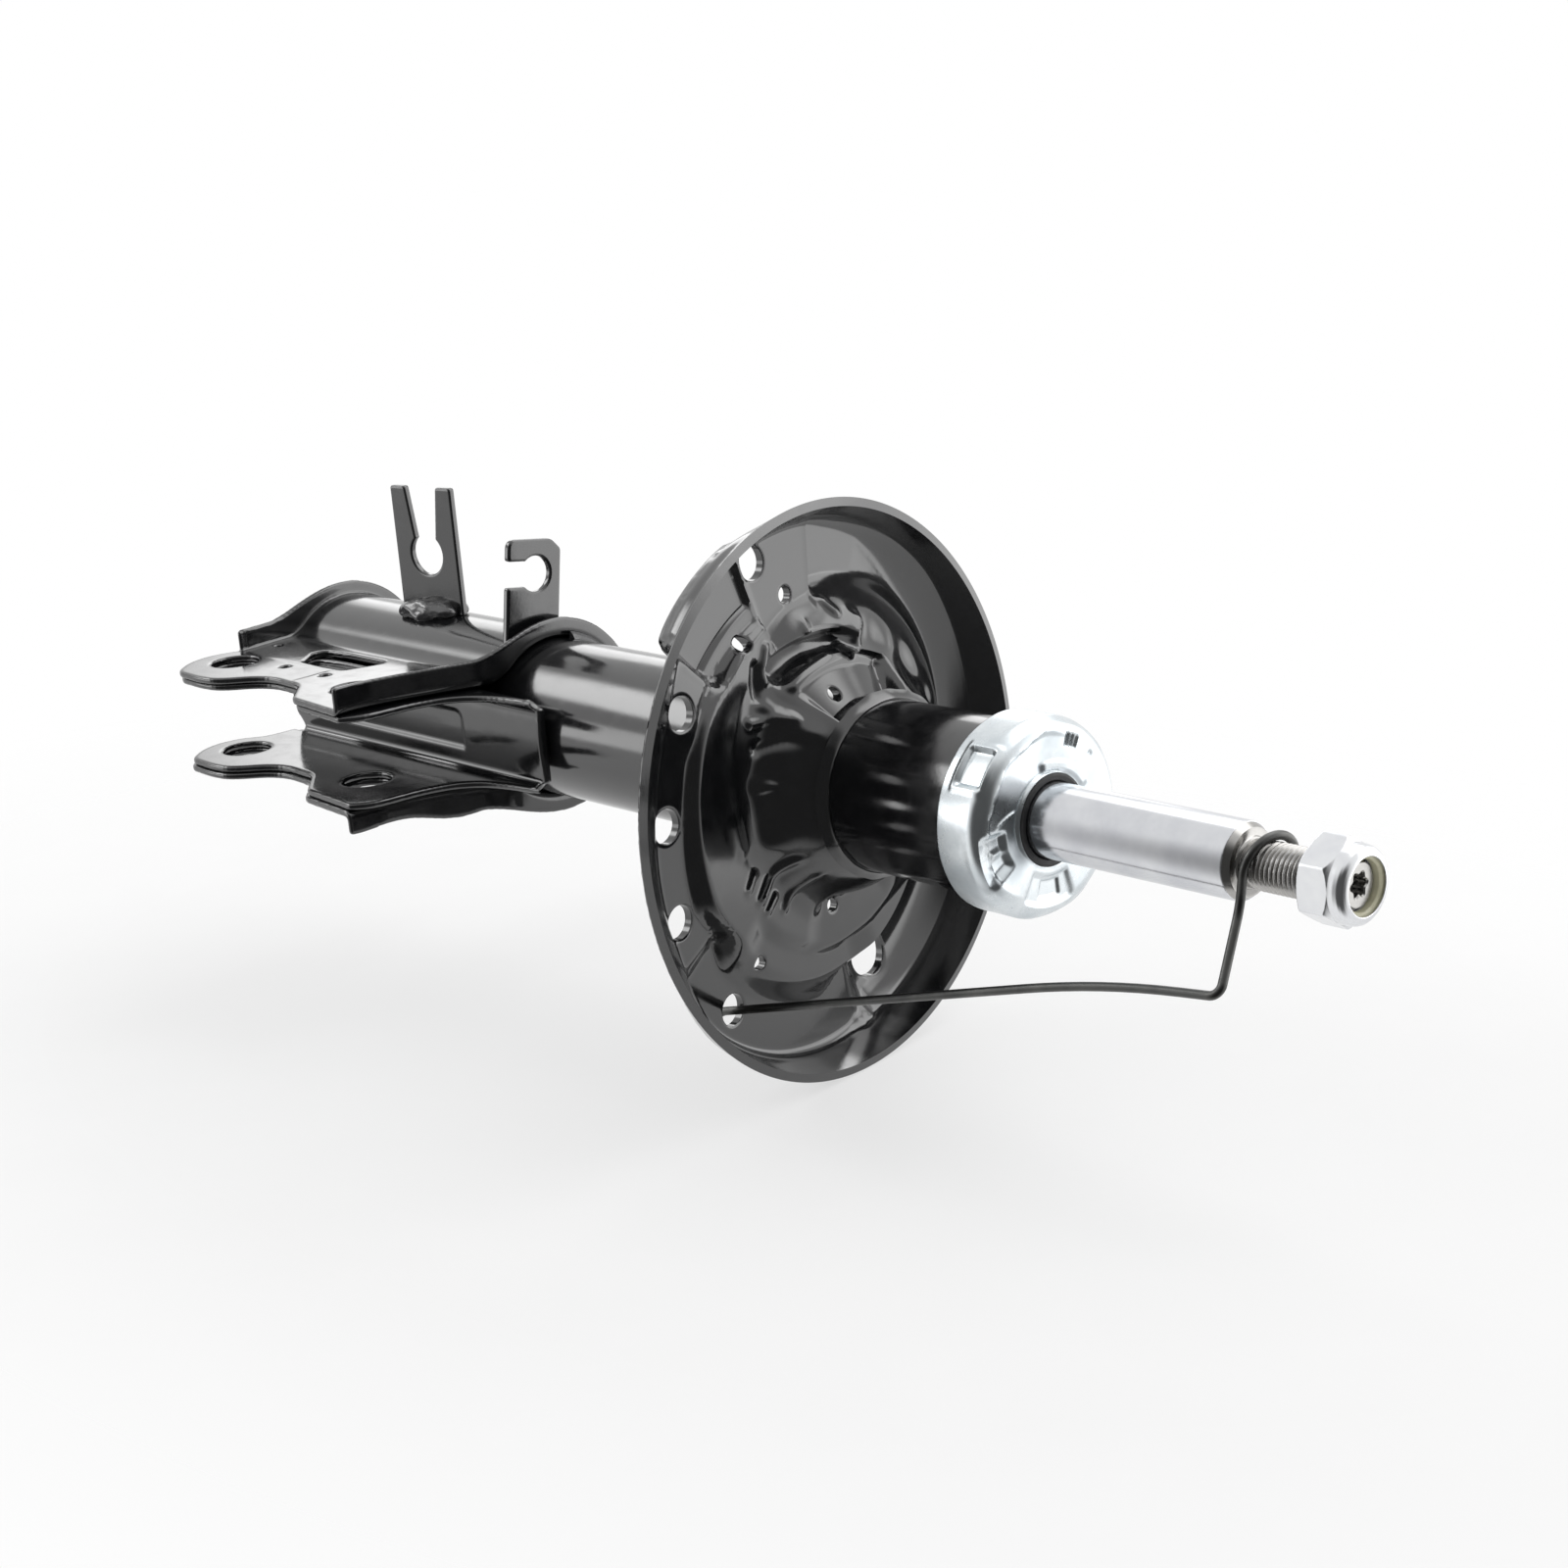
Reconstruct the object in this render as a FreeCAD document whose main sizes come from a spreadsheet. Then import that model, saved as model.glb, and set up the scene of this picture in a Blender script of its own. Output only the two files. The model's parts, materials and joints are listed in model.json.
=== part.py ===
import FreeCAD, Part
import math
import os

import Sketcher

# Front suspension strut, twin tube, held short by a transport wire.
# The strut lies along X: X = 0 is the flat base of the tube, +X runs to the top nut.
# The knuckle ears reach toward -Y, and +Z is square to them. Millimetres.

Vector = FreeCAD.Vector
Rotation = FreeCAD.Rotation

# Driving dimensions
SIZES = {
    # outer tube and its base
    "tube_diameter": 52.0,
    "tube_wall": 2.0,
    "tube_length": 339.0,
    "base_cup_depth": 11.0,
    "base_cup_wall": 3.0,
    "roll_height": 1.6,
    # knuckle bracket: outer wrap and inner channel
    "bracket_length": 124.0,
    "bracket_sheet": 2.4,
    "wrap_clearance": 0.1,
    "ear_gap": 26.8,
    "channel_sheet": 2.4,
    "channel_start": 12.0,
    "channel_end": 151.0,
    "channel_stand_off": 1.0,
    "channel_bend": 3.0,
    "ear_reach": 79.0,
    "flange_radius": 33.0,
    "lip_height": 7.3,
    "lower_lip_taper": 2.4,
    "bolt_first": 16.0,
    "bolt_spacing": 72.8,
    "bolt_reach": 57.0,
    "bolt_hole": 16.5,
    "locating_hole": 3.4,
    # spring seat
    "seat_station": 261.0,
    "seat_radius": 88.8,
    "seat_sheet": 2.8,
    "seat_tilt": 7.4,
    "seat_tilt_heading": 18.9,
    "seat_shift_side": 2.0,
    "seat_shift_down": 4.5,
    "track_inner": 60.0,
    "wall_foot_deep": 83.2,
    "wall_foot_high": 78.7,
    "wall_bulge": 3.0,
    "track_deep": 20.0,
    "track_deep_end": 21.0,
    "track_rise_start": 16.5,
    "track_rise_end": 5.5,
    "hub_height": 17.0,
    "seat_weld_leg": 3.0,
    # hose and sensor line brackets
    "clip_sheet": 2.5,
    "foot_gap": 0.05,
    "hose_plate_width": 27.0,
    "hose_plate_top": 73.0,
    "hose_plate_station": 60.2,
    "hose_plate_turn": 10.0,
    "hose_seat_diameter": 14.4,
    "hose_seat_height": 49.5,
    "hose_neck": 9.6,
    "hose_mouth": 16.6,
    "line_plate_station": 115.6,
    "line_plate_front": 11.3,
    "line_plate_back": 10.1,
    "line_plate_top": 58.7,
    "line_plate_lean": 9.0,
    "line_plate_shift": 7.4,
    "line_hole_diameter": 12.0,
    "line_hole_height": 47.4,
    "line_slot": 8.9,
    # top cap
    "cap_wall": 1.5,
    "cap_stand_off": 1.9,
    "cap_start": 327.8,
    "cap_face": 344.7,
    "cap_bore": 27.0,
    "cap_pocket_depth": 0.8,
    "wiper_length": 5.0,
    # piston rod and what it carries
    "rod_diameter": 22.0,
    "rod_shoulder": 415.2,
    "shoulder_chamfer": 1.4,
    "stud_diameter": 14.0,
    "stud_end": 449.6,
    "stud_relief": 3.2,
    "socket_across": 6.0,
    "socket_depth": 7.0,
    "nut_across": 22.0,
    "nut_start": 438.0,
    "nut_height": 14.2,
    "nut_hex_height": 9.6,
    "nut_collar_radius": 10.3,
    "insert_height": 2.6,
    "thread_gap": 0.06,
    "spigot_diameter": 12.0,
    "spigot_start": 40.0,
    "piston_start": 51.0,
    "piston_diameter": 32.0,
    "piston_height": 13.0,
    "piston_gap": 0.25,
    "ring_height": 7.0,
    "ring_depth": 1.2,
    "running_gap": 0.04,
    "disc_sheet": 0.6,
    "disc_count": 2,
    "stroke": 165.0,
    "stop_height": 4.0,
    "stop_diameter": 28.0,
    "bumper_height": 10.0,
    # pressure tube, foot valve, guide and seal
    "pressure_wall": 1.5,
    "foot_start": 14.0,
    "foot_height": 12.0,
    "guide_start": 314.0,
    "guide_height": 16.0,
    "guide_step": 8.0,
    "bush_wall": 1.5,
    # transport wire
    "wire_diameter": 2.6,
    "wire_gap": 0.35,
}

doc = FreeCAD.newDocument("strut")
sheet = doc.addObject("Spreadsheet::Sheet", "Sizes")


def fill_sheet():
    """Every driving dimension has a row of its own, with its name as the alias."""
    for row, (alias, number) in enumerate(SIZES.items(), start=1):
        sheet.set(f"A{row}", alias)
        sheet.set(f"B{row}", str(number))
        sheet.setAlias(f"B{row}", alias)
    doc.recompute()


class Size:
    """A length with the sheet expression that gives it."""

    def __init__(self, value, text):
        self.value = float(value)
        self.text = text

    def __add__(self, other):
        other = as_size(other)
        return Size(self.value + other.value, f"({self.text} + {other.text})")

    def __radd__(self, other):
        return as_size(other) + self

    def __sub__(self, other):
        other = as_size(other)
        return Size(self.value - other.value, f"({self.text} - {other.text})")

    def __rsub__(self, other):
        return as_size(other) - self

    def __mul__(self, factor):
        factor = as_size(factor)
        return Size(self.value * factor.value, f"({self.text} * {factor.text})")

    __rmul__ = __mul__

    def __truediv__(self, divisor):
        divisor = as_size(divisor)
        return Size(self.value / divisor.value, f"({self.text} / {divisor.text})")

    def __neg__(self):
        return Size(-self.value, f"(0 - {self.text})")


def as_size(item):
    """A plain number becomes a constant expression."""
    if isinstance(item, Size):
        return item
    return Size(item, repr(float(item)))


def size(alias):
    """One cell of the sheet."""
    return Size(sheet.get(alias), f"Sizes.{alias}")


def root(item):
    """Square root, for the place where a plane meets a cylinder."""
    return Size(math.sqrt(item.value), f"sqrt({item.text})")


fill_sheet()

ORIGIN = -1
START = 1
END = 2


def origin_plane(body, role):
    """The body's own base plane of that role."""
    return next(item for item in body.Origin.OriginFeatures if item.Role == role)


def outline_sketch(body, name, role, corners, offset=0.0):
    """A closed outline of straight lines, each corner tied to the sheet."""
    sketch = body.newObject("Sketcher::SketchObject", name)
    sketch.AttachmentSupport = [(origin_plane(body, role), "")]
    sketch.MapMode = "FlatFace"
    offset = as_size(offset)
    sketch.AttachmentOffset = FreeCAD.Placement(Vector(0, 0, offset.value), Rotation())
    sketch.setExpression("AttachmentOffset.Base.z", offset.text)
    corners = [(as_size(across), as_size(up)) for across, up in corners]
    count = len(corners)
    for index, (across, up) in enumerate(corners):
        next_across, next_up = corners[(index + 1) % count]
        first = Vector(across.value, up.value, 0)
        second = Vector(next_across.value, next_up.value, 0)
        sketch.addGeometry(Part.LineSegment(first, second), False)
    for index in range(count):
        follower = (index + 1) % count
        sketch.addConstraint(Sketcher.Constraint("Coincident", index, END, follower, START))
    for index, (across, up) in enumerate(corners):
        for kind, distance in (("DistanceX", across), ("DistanceY", up)):
            rule = Sketcher.Constraint(kind, ORIGIN, START, index, START, distance.value)
            number = sketch.addConstraint(rule)
            sketch.setExpression(f"Constraints[{number}]", distance.text)
    return sketch


def turned(name, corners):
    """A ring or shaft turned about the strut's axis from a half section (x, radius)."""
    body = doc.addObject("PartDesign::Body", name)
    sketch = outline_sketch(body, name + "_section", "XY_Plane", corners)
    turn = body.newObject("PartDesign::Revolution", name + "_turn")
    turn.Profile = sketch
    turn.ReferenceAxis = (sketch, ["H_Axis"])
    turn.Angle = 360
    return body


def plate(name, role, corners, start, thickness):
    """A flat outline on a base plane, raised from start along the plane's normal."""
    body = doc.addObject("PartDesign::Body", name)
    sketch = outline_sketch(body, name + "_outline", role, corners, start)
    pad = body.newObject("PartDesign::Pad", name + "_pad")
    pad.Profile = sketch
    thickness = as_size(thickness)
    pad.Length = thickness.value
    pad.setExpression("Length", thickness.text)
    return body


def rod_along(name, axis, centre, radius, length):
    """A plain cylinder that starts at centre and runs along axis."""
    item = doc.addObject("Part::Cylinder", name)
    radius = as_size(radius)
    length = as_size(length)
    item.Radius = radius.value
    item.Height = length.value
    item.setExpression("Radius", radius.text)
    item.setExpression("Height", length.text)
    spot = [as_size(value) for value in centre]
    turn = Rotation(Vector(0, 0, 1), Vector(*axis))
    item.Placement = FreeCAD.Placement(Vector(*[value.value for value in spot]), turn)
    for letter, value in zip("xyz", spot):
        item.setExpression(f"Placement.Base.{letter}", value.text)
    return item


def block(name, low, high):
    """A box between two corners."""
    item = doc.addObject("Part::Box", name)
    low = [as_size(value) for value in low]
    high = [as_size(value) for value in high]
    item.Placement = FreeCAD.Placement(Vector(*[value.value for value in low]), Rotation())
    for letter, edge, start, stop in zip("xyz", ("Length", "Width", "Height"), low, high):
        setattr(item, edge, (stop - start).value)
        item.setExpression(edge, (stop - start).text)
        item.setExpression(f"Placement.Base.{letter}", start.text)
    return item


def joined(name, pieces):
    item = doc.addObject("Part::MultiFuse", name)
    item.Shapes = pieces
    item.Refine = True
    return item


def common(name, first, second):
    item = doc.addObject("Part::MultiCommon", name)
    item.Shapes = [first, second]
    item.Refine = True
    return item


def cut(name, base, tools):
    """Base without the tools; the result is smaller, or the build stops."""
    item = doc.addObject("Part::Cut", name)
    item.Base = base
    item.Tool = tools[0] if len(tools) == 1 else joined(name + "_tools", tools)
    item.Refine = True
    doc.recompute()
    if not item.Shape.Volume < base.Shape.Volume - 0.01:
        raise RuntimeError(f"{name}: the cut removes nothing")
    return item


def rounded(name, base, radius, chosen):
    """Rounds the edges for which chosen(edge) is true."""
    doc.recompute()
    radius = as_size(radius)
    numbers = [n for n, edge in enumerate(base.Shape.Edges, start=1) if chosen(edge)]
    if not numbers:
        raise RuntimeError(f"{name}: no edge to round")
    item = doc.addObject("Part::Fillet", name)
    item.Base = base
    item.Edges = [(number, radius.value, radius.value) for number in numbers]
    return item


def runs_along(edge, axis):
    """True for a straight edge parallel to the axis, given as 0, 1 or 2 for X, Y or Z."""
    if edge.Curve.TypeId != "Part::GeomLine":
        return False
    heading = edge.Vertexes[-1].Point - edge.Vertexes[0].Point
    return abs(abs(heading[axis]) - heading.Length) < 1e-6


def edge_at(edge, axis, places, slack=0.6):
    """True for an edge along the axis whose other two coordinates are at one of the places."""
    if not runs_along(edge, axis):
        return False
    middle = edge.CenterOfMass
    here = [middle[i] for i in range(3) if i != axis]
    return any(math.dist(here, place) < slack for place in places)


# Derived places that several pieces share
tube_radius = size("tube_diameter") / 2
tube_bore = tube_radius - size("tube_wall")
wrap_inner = tube_radius + size("wrap_clearance")
wrap_outer = wrap_inner + size("bracket_sheet")
channel_inside = size("ear_gap") / 2
ear_inside = channel_inside + size("channel_sheet")
ear_outside = ear_inside + size("bracket_sheet")
lip_top = ear_outside + size("lip_height")
web_back = tube_radius + size("channel_stand_off")
web_front = web_back + size("channel_sheet")
bolt_last = size("bolt_first") + size("bolt_spacing")
bracket_end = size("bracket_length")
rod_radius = size("rod_diameter") / 2
stud_radius = size("stud_diameter") / 2
spigot_radius = size("spigot_diameter") / 2
pressure_bore = size("piston_diameter") / 2
pressure_outer = pressure_bore + size("pressure_wall")
guide_end = size("guide_start") + size("guide_height")
reach = size("ear_reach")
window_far = -(size("bolt_reach") - 28.0)


def ear_outline(inset):
    """Plan of an ear, seen along Z: two lobes, one round each knuckle bolt, with a waist."""
    first = size("bolt_first")
    last = bolt_last
    bolt_line = size("bolt_reach")
    tip = reach - inset
    return [
        (last + 20.5 - inset, -tip),
        (last - 8.8 + inset, -tip + 2.6),
        (first + 50.0, -(bolt_line + 7.2) + inset),
        (first + 29.0, -(bolt_line + 6.0) + inset),
        (first + 16.5, -tip + 3.4),
        (first + 8.0, -tip + 2.0),
        (first - 7.0, -tip + 2.8),
        (first - 14.6 + inset, -(bolt_line + 10.5)),
        (first - 17.4 + inset, -(bolt_line + 1.5)),
        (first - 15.2 + inset, -(bolt_line - 7.5)),
        (first - 10.5 + inset, -(bolt_line - 12.5)),
    ]


def outer_tube():
    """Drawn steel tube, its top rolled inward over the seal."""
    top = size("tube_length")
    roll = size("roll_height")
    return turned("outer_tube", [
        (0, tube_bore + 0.8),
        (1.2, tube_bore),
        (top - roll, tube_bore),
        (top - roll, tube_bore - 3.0),
        (top - 0.5, tube_bore - 3.4),
        (top, tube_bore - 2.4),
        (top, tube_radius - 2.2),
        (top - 2.0, tube_radius - 0.4),
        (top - 3.4, tube_radius),
        (1.0, tube_radius),
        (0, tube_radius - 0.8),
    ])


def base_cup():
    """Pressed closing cup that is welded into the tube's lower end."""
    depth = size("base_cup_depth")
    wall = size("base_cup_wall")
    rim = tube_bore - 0.02
    return turned("base_cup", [
        (0, 0),
        (0, rim - 4.0),
        (1.2, rim - 1.2),
        (3.0, rim),
        (depth, rim),
        (depth, rim - wall),
        (wall + 3.0, rim - wall - 0.5),
        (wall, rim - wall - 4.0),
        (wall, 0),
    ])


def bracket_envelope(name, radius, half_height, start, stop):
    """A drum round the tube joined to a slab that reaches out to the ears."""
    drum = rod_along(name + "_drum", (1, 0, 0), (start, 0, 0), radius, stop - start)
    slab = block(name + "_slab", (start, -reach - 1.0, -half_height), (stop, 0, half_height))
    return joined(name, [drum, slab])


def knuckle_bracket():
    """Stamped outer bracket: it wraps the tube, and its edges turn up as flange and lip."""
    outside = bracket_envelope("wrap_outside", wrap_outer, ear_outside, 0, bracket_end)
    throat = -root(wrap_outer * wrap_outer - ear_outside * ear_outside)
    corners = [(throat.value, ear_outside.value), (throat.value, -ear_outside.value)]
    outside = rounded("wrap_outside_bend", outside, 3.0, lambda e: edge_at(e, 0, corners))
    inside = bracket_envelope("wrap_inside", wrap_inner, ear_inside, -1, bracket_end + 1.0)
    throat = -root(wrap_inner * wrap_inner - ear_inside * ear_inside)
    mouth = [(throat.value, ear_inside.value), (throat.value, -ear_inside.value)]
    inside = rounded("wrap_inside_bend", inside, 5.0, lambda e: edge_at(e, 0, mouth))
    left_side = [(2.6, -47.0), (0, -24.0), (0, 40.0)]
    right_side = [(bracket_end, 40.0), (bracket_end, -26.0), (bracket_end - 5.5, -40.5),
                  (bracket_end - 10.5, -53.5), (bracket_end - 14.5, -68.0)]
    plan_corners = left_side + right_side + ear_outline(0)
    plan = plate("bracket_plan", "XY_Plane", plan_corners, -45.0, 90.0)
    wall = size("bracket_sheet")
    inner_corners = [(2.6 + wall, -47.0), (wall, -24.0), (wall, 40.5),
                     (bracket_end - wall, 40.5), (bracket_end - wall, -25.6),
                     (bracket_end - 5.2 - wall, -39.7), (bracket_end - 10.3 - wall, -52.9),
                     (bracket_end - 14.4 - wall, -67.5), (bracket_end - 15.4 - wall, -90.0),
                     (2.6 + wall, -90.0)]
    plan_inside = plate("bracket_plan_inside", "XY_Plane", inner_corners, -46.0, 92.0)
    flange = size("flange_radius")
    drum = rod_along("flange_drum", (1, 0, 0), (-0.5, 0, 0), flange, bracket_end + 1.0)
    shoulder = flange - 2.1
    skirt = plate("flange_skirt", "YZ_Plane", [
        (-8.0, shoulder + 0.9), (-17.0, lip_top + 3.6), (-25.0, lip_top + 0.8), (-34.0, lip_top),
        (-reach - 1.0, lip_top),
        (-reach - 1.0, size("lower_lip_taper") - lip_top), (-34.0, -lip_top), (-25.0, -(lip_top + 0.8)),
        (-17.0, -(lip_top + 3.6)), (-8.0, -(shoulder + 0.9)),
    ], -0.5, bracket_end + 1.0)
    hollow = joined("flange_outline", [drum, skirt])
    ring = cut("flange_ring", hollow, [outside, plan_inside])
    lip_end = plate("left_lip_end", "XY_Plane", [
        (-5.0, -47.0), (60.0, -47.0), (60.0, -90.0), (-5.0, -90.0)], -45.0, 90.0)
    ring = cut("flange_ring_short", ring, [lip_end])
    rim = common("flange_rim", ring, plan)
    shell = cut("wrap_shell", outside, [inside])
    shell = common("wrap_in_plan", shell, plan)
    whole = joined("bracket_whole", [shell, rim])
    tools = ear_holes("bracket") + [window_tool("bracket_window", window_far)]
    return named(cut("bracket_drilled", whole, tools), "knuckle_bracket")


def ear_holes(name):
    """Bolt holes through both ears and three locating holes in the upper one, along Z."""
    first = size("bolt_first")
    hole = size("bolt_hole") / 2
    small = size("locating_hole") / 2
    bolt_line = -size("bolt_reach")
    depth = ear_outside + 2.0
    tools = []
    for number, along in enumerate((first, bolt_last)):
        tools.append(rod_along(f"{name}_bolt_{number}", (0, 0, 1), (along, bolt_line, -depth),
                               hole, depth * 2))
    spots = [(first - 6.0, bolt_line + 22.0), (first + 23.5, bolt_line + 5.2),
             (first + 47.6, bolt_line + 5.1)]
    for number, (along, across) in enumerate(spots):
        tools.append(rod_along(f"{name}_locating_{number}", (0, 0, 1), (along, across, 0),
                               small, depth))
    return tools


def window_tool(name, far):
    """The trapezoid window of the upper ear; far is the Y of its edge beside the tube."""
    first = size("bolt_first")
    near = -(size("bolt_reach") - 12.6)
    return plate(name, "XY_Plane", [
        (first + 23.6, near), (first + 15.6, far - 6.0), (first + 17.0, far - 1.6),
        (first + 29.0, far), (first + 50.6, far), (first + 52.4, far - 2.4),
        (first + 47.6, near), (first + 34.5, near - 0.4)], 0, ear_outside + 2.0)


def knuckle_channel():
    """Inner channel: its web lies on the tube and its two flanges back the ears."""
    start = -1.0
    stop = size("channel_end")
    back = block("channel_back", (start, -reach, -ear_inside), (stop, -web_back, ear_inside))
    front = block("channel_front", (start - 1.0, -reach - 1.0, -channel_inside),
                  (stop + 1.0, -web_front, channel_inside))
    bend = size("channel_bend")
    corner = [(-web_back.value, ear_inside.value), (-web_back.value, -ear_inside.value)]
    back = rounded("channel_back_bend", back, bend + 1.4, lambda e: edge_at(e, 0, corner))
    corner = [(-web_front.value, channel_inside.value), (-web_front.value, -channel_inside.value)]
    front = rounded("channel_front_bend", front, bend, lambda e: edge_at(e, 0, corner))
    shell = cut("channel_shell", back, [front])
    left = size("channel_start")
    plan = plate("channel_plan", "XY_Plane", [
        (left - 4.0, -web_back + 1.0), (stop, -web_back + 1.0), (stop, -web_front - 2.6),
        (stop - 13.0, -web_front - 4.2), (stop - 24.0, -web_front - 7.4),
        (stop - 31.0, -web_front - 13.4), (stop - 35.0, -web_front - 24.0),
        (stop - 37.0, -reach + 7.0)] + ear_outline(0.7) + [
        (left - 4.5, -40.0)], -45.0, 90.0)
    shell = common("channel_in_plan", shell, plan)
    slope = 7.0
    ends = []
    for side, sign in (("upper", 1), ("lower", -1)):
        ends.append(plate(f"web_end_{side}", "XZ_Plane", [
            (left - slope - 10.0, sign * 2.0), (left - slope, sign * 2.0),
            (left, channel_inside * sign - sign * 1.0), (left, channel_inside * sign),
            (left - slope - 10.0, channel_inside * sign)], 22.0, web_front + 2.0 - 22.0))
    panel = block("web_panel", (left + 3.0, -web_front - 1.0, -6.4),
                  (left + 97.0, -web_front + 0.8, 6.6))
    notches = []
    for side, sign in (("upper", 1), ("lower", -1)):
        notches.append(rod_along(f"corner_notch_{side}", (0, 1, 0),
                                 (stop - 0.5, -web_front - 4.0, ear_inside * sign), 3.2, 8.0))
    shell = cut("channel_pressed", shell, ends + [panel] + notches)
    clear_of_bend = -(web_front + bend + 0.2)
    tools = ear_holes("channel") + [window_tool("channel_window", clear_of_bend)]
    return named(cut("channel_drilled", shell, tools), "knuckle_channel")


def named(item, label):
    """Gives the finished object of a sub-part its node name."""
    item.Label = label
    return item


def hose_bracket():
    """Upright forked plate for the brake hose, with a round seat below a narrow neck."""
    half = size("hose_plate_width") / 2
    top = size("hose_plate_top")
    seat = size("hose_seat_diameter") / 2
    seat_height = size("hose_seat_height")
    neck = size("hose_neck") / 2
    mouth = size("hose_mouth") / 2
    foot = wrap_outer - 2.0
    throat = seat_height + root(seat * seat - neck * neck)
    blank = plate("hose_blank", "XZ_Plane", [
        (-half, foot), (half, foot), (half, top - 0.9), (half - 0.9, top),
        (mouth + 0.7, top), (mouth, top - 0.7),
        (neck, throat), (-neck, throat),
        (-mouth, top - 0.7), (-mouth - 0.7, top),
        (-half + 0.9, top), (-half, top - 0.9)], 0, size("clip_sheet"))
    eye = rod_along("hose_eye", (0, -1, 0), (0, 1, seat_height), seat, 6.0)
    plain = cut("hose_plate", blank, [eye])
    wrap = rod_along("hose_foot", (1, 0, 0), (-60.0, 0, 0), wrap_outer + size("foot_gap"), 120.0)
    turn = Rotation(Vector(0, 0, 1), SIZES["hose_plate_turn"])
    plain.Placement = FreeCAD.Placement(Vector(SIZES["hose_plate_station"], 0, 0), turn)
    plain.setExpression("Placement.Base.x", "Sizes.hose_plate_station")
    plain.setExpression("Placement.Rotation.Angle", "Sizes.hose_plate_turn")
    wrap.setExpression("Placement.Base.x", "Sizes.hose_plate_station - 60")
    return named(cut("hose_on_wrap", plain, [wrap]), "brake_hose_bracket")


def line_bracket():
    """C shaped plate for the sensor line, square to the tube and open toward the ears."""
    front = size("line_plate_front")
    back = size("line_plate_back")
    top = size("line_plate_top")
    hole = size("line_hole_diameter") / 2
    height = size("line_hole_height")
    slot = size("line_slot") / 2
    foot = wrap_outer - 6.0
    depth = root(hole * hole - slot * slot)
    blank = plate("line_blank", "YZ_Plane", [
        (-front, foot), (back, foot), (back, top - 3.0), (back - 4.6, top),
        (-front + 1.6, top), (-front + 0.4, top - 1.0), (-front, top - 2.4),
        (-front, height + slot + 0.6), (-front + 0.6, height + slot),
        (-depth, height + slot), (-depth, height - slot),
        (-front + 0.6, height - slot), (-front, height - slot - 0.6)], 0, size("clip_sheet"))
    eye = rod_along("line_eye", (1, 0, 0), (-1, 0, height), hole, 6.0)
    plain = cut("line_plate", blank, [eye])
    lean = SIZES["line_plate_lean"]
    turn = Rotation(Vector(1, 0, 0), -lean)
    shift = turn.multVec(Vector(0, -SIZES["line_plate_shift"], 0))
    plain.Placement = FreeCAD.Placement(Vector(SIZES["line_plate_station"], shift.y, shift.z), turn)
    plain.setExpression("Placement.Base.x", "Sizes.line_plate_station")
    wrap = rod_along("line_foot", (1, 0, 0), (0, 0, 0), wrap_outer + size("foot_gap"), bracket_end)
    return named(cut("line_on_wrap", plain, [wrap]), "sensor_line_bracket")


def solid_feature(name, shape, placement=None):
    """A shape made in code becomes an object of the document."""
    item = doc.addObject("Part::Feature", name)
    item.Shape = shape
    if placement is not None:
        item.Placement = placement
    return item


def seat_placement():
    """Seat frame: its z leaves the rim plane toward the nut, its x points up."""
    tilt = math.radians(SIZES["seat_tilt"])
    heading = math.radians(SIZES["seat_tilt_heading"])
    normal = Vector(math.cos(tilt), math.sin(tilt) * math.cos(heading),
                    math.sin(tilt) * math.sin(heading))
    upward = Vector(0, 0, 1)
    upward = (upward - normal * upward.dot(normal)).normalize()
    side = normal.cross(upward)
    matrix = FreeCAD.Matrix(upward.x, side.x, normal.x, SIZES["seat_station"],
                            upward.y, side.y, normal.y, -SIZES["seat_shift_side"],
                            upward.z, side.z, normal.z, -SIZES["seat_shift_down"],
                            0, 0, 0, 1)
    return FreeCAD.Placement(matrix)


def clock(angle, radius, height):
    """A point of the seat frame by clock angle: 0 is up, 90 is away from the ears."""
    turn = math.radians(angle)
    return Vector(radius * math.cos(turn), -radius * math.sin(turn), height)


# Clock angles where the coil track changes: the end stop, the second step and the raised land
STOP_ANGLE = 4.0
STOP_FOOT = 9.0
SECOND_STEP = 164.0
SECOND_FOOT = 170.0
LAND_FOOT = 316.0
LAND_ANGLE = 342.0
LAND_DEPTH = 9.0
# Between these the outer wall leans out into a cone
CONE_START = 200.0
CONE_END = 270.0


def blend(start, stop, share):
    """Eases from start to stop as share goes from 0 to 1."""
    share = min(max(share, 0.0), 1.0)
    return start + (stop - start) * share * share * (3 - 2 * share)


def track_depth(angle):
    """Depth of the coil track below the rim plane, by clock angle."""
    deep = SIZES["track_deep"]
    deep_end = SIZES["track_deep_end"]
    rise_start = SIZES["track_rise_start"]
    rise_end = SIZES["track_rise_end"]
    if angle <= STOP_FOOT:
        return LAND_DEPTH + (deep - LAND_DEPTH) * max(angle - STOP_ANGLE, 0) / (STOP_FOOT - STOP_ANGLE)
    if angle <= SECOND_STEP:
        return deep + (deep_end - deep) * (angle - STOP_FOOT) / (SECOND_STEP - STOP_FOOT)
    if angle <= SECOND_FOOT:
        return deep_end + (rise_start - deep_end) * (angle - SECOND_STEP) / (SECOND_FOOT - SECOND_STEP)
    if angle <= LAND_FOOT:
        share = (angle - SECOND_FOOT) / 120.0
        return rise_start + (rise_end - rise_start) * min(share, 1.0) ** 0.85
    return blend(rise_end, LAND_DEPTH, (angle - LAND_FOOT) / (LAND_ANGLE - LAND_FOOT))


def land_depth(angle, radius):
    """Depth of the tilted centre panel, which falls away from the ears."""
    return 7.5 + 4.5 * radius / 50.0 * math.sin(math.radians(angle))


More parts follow.
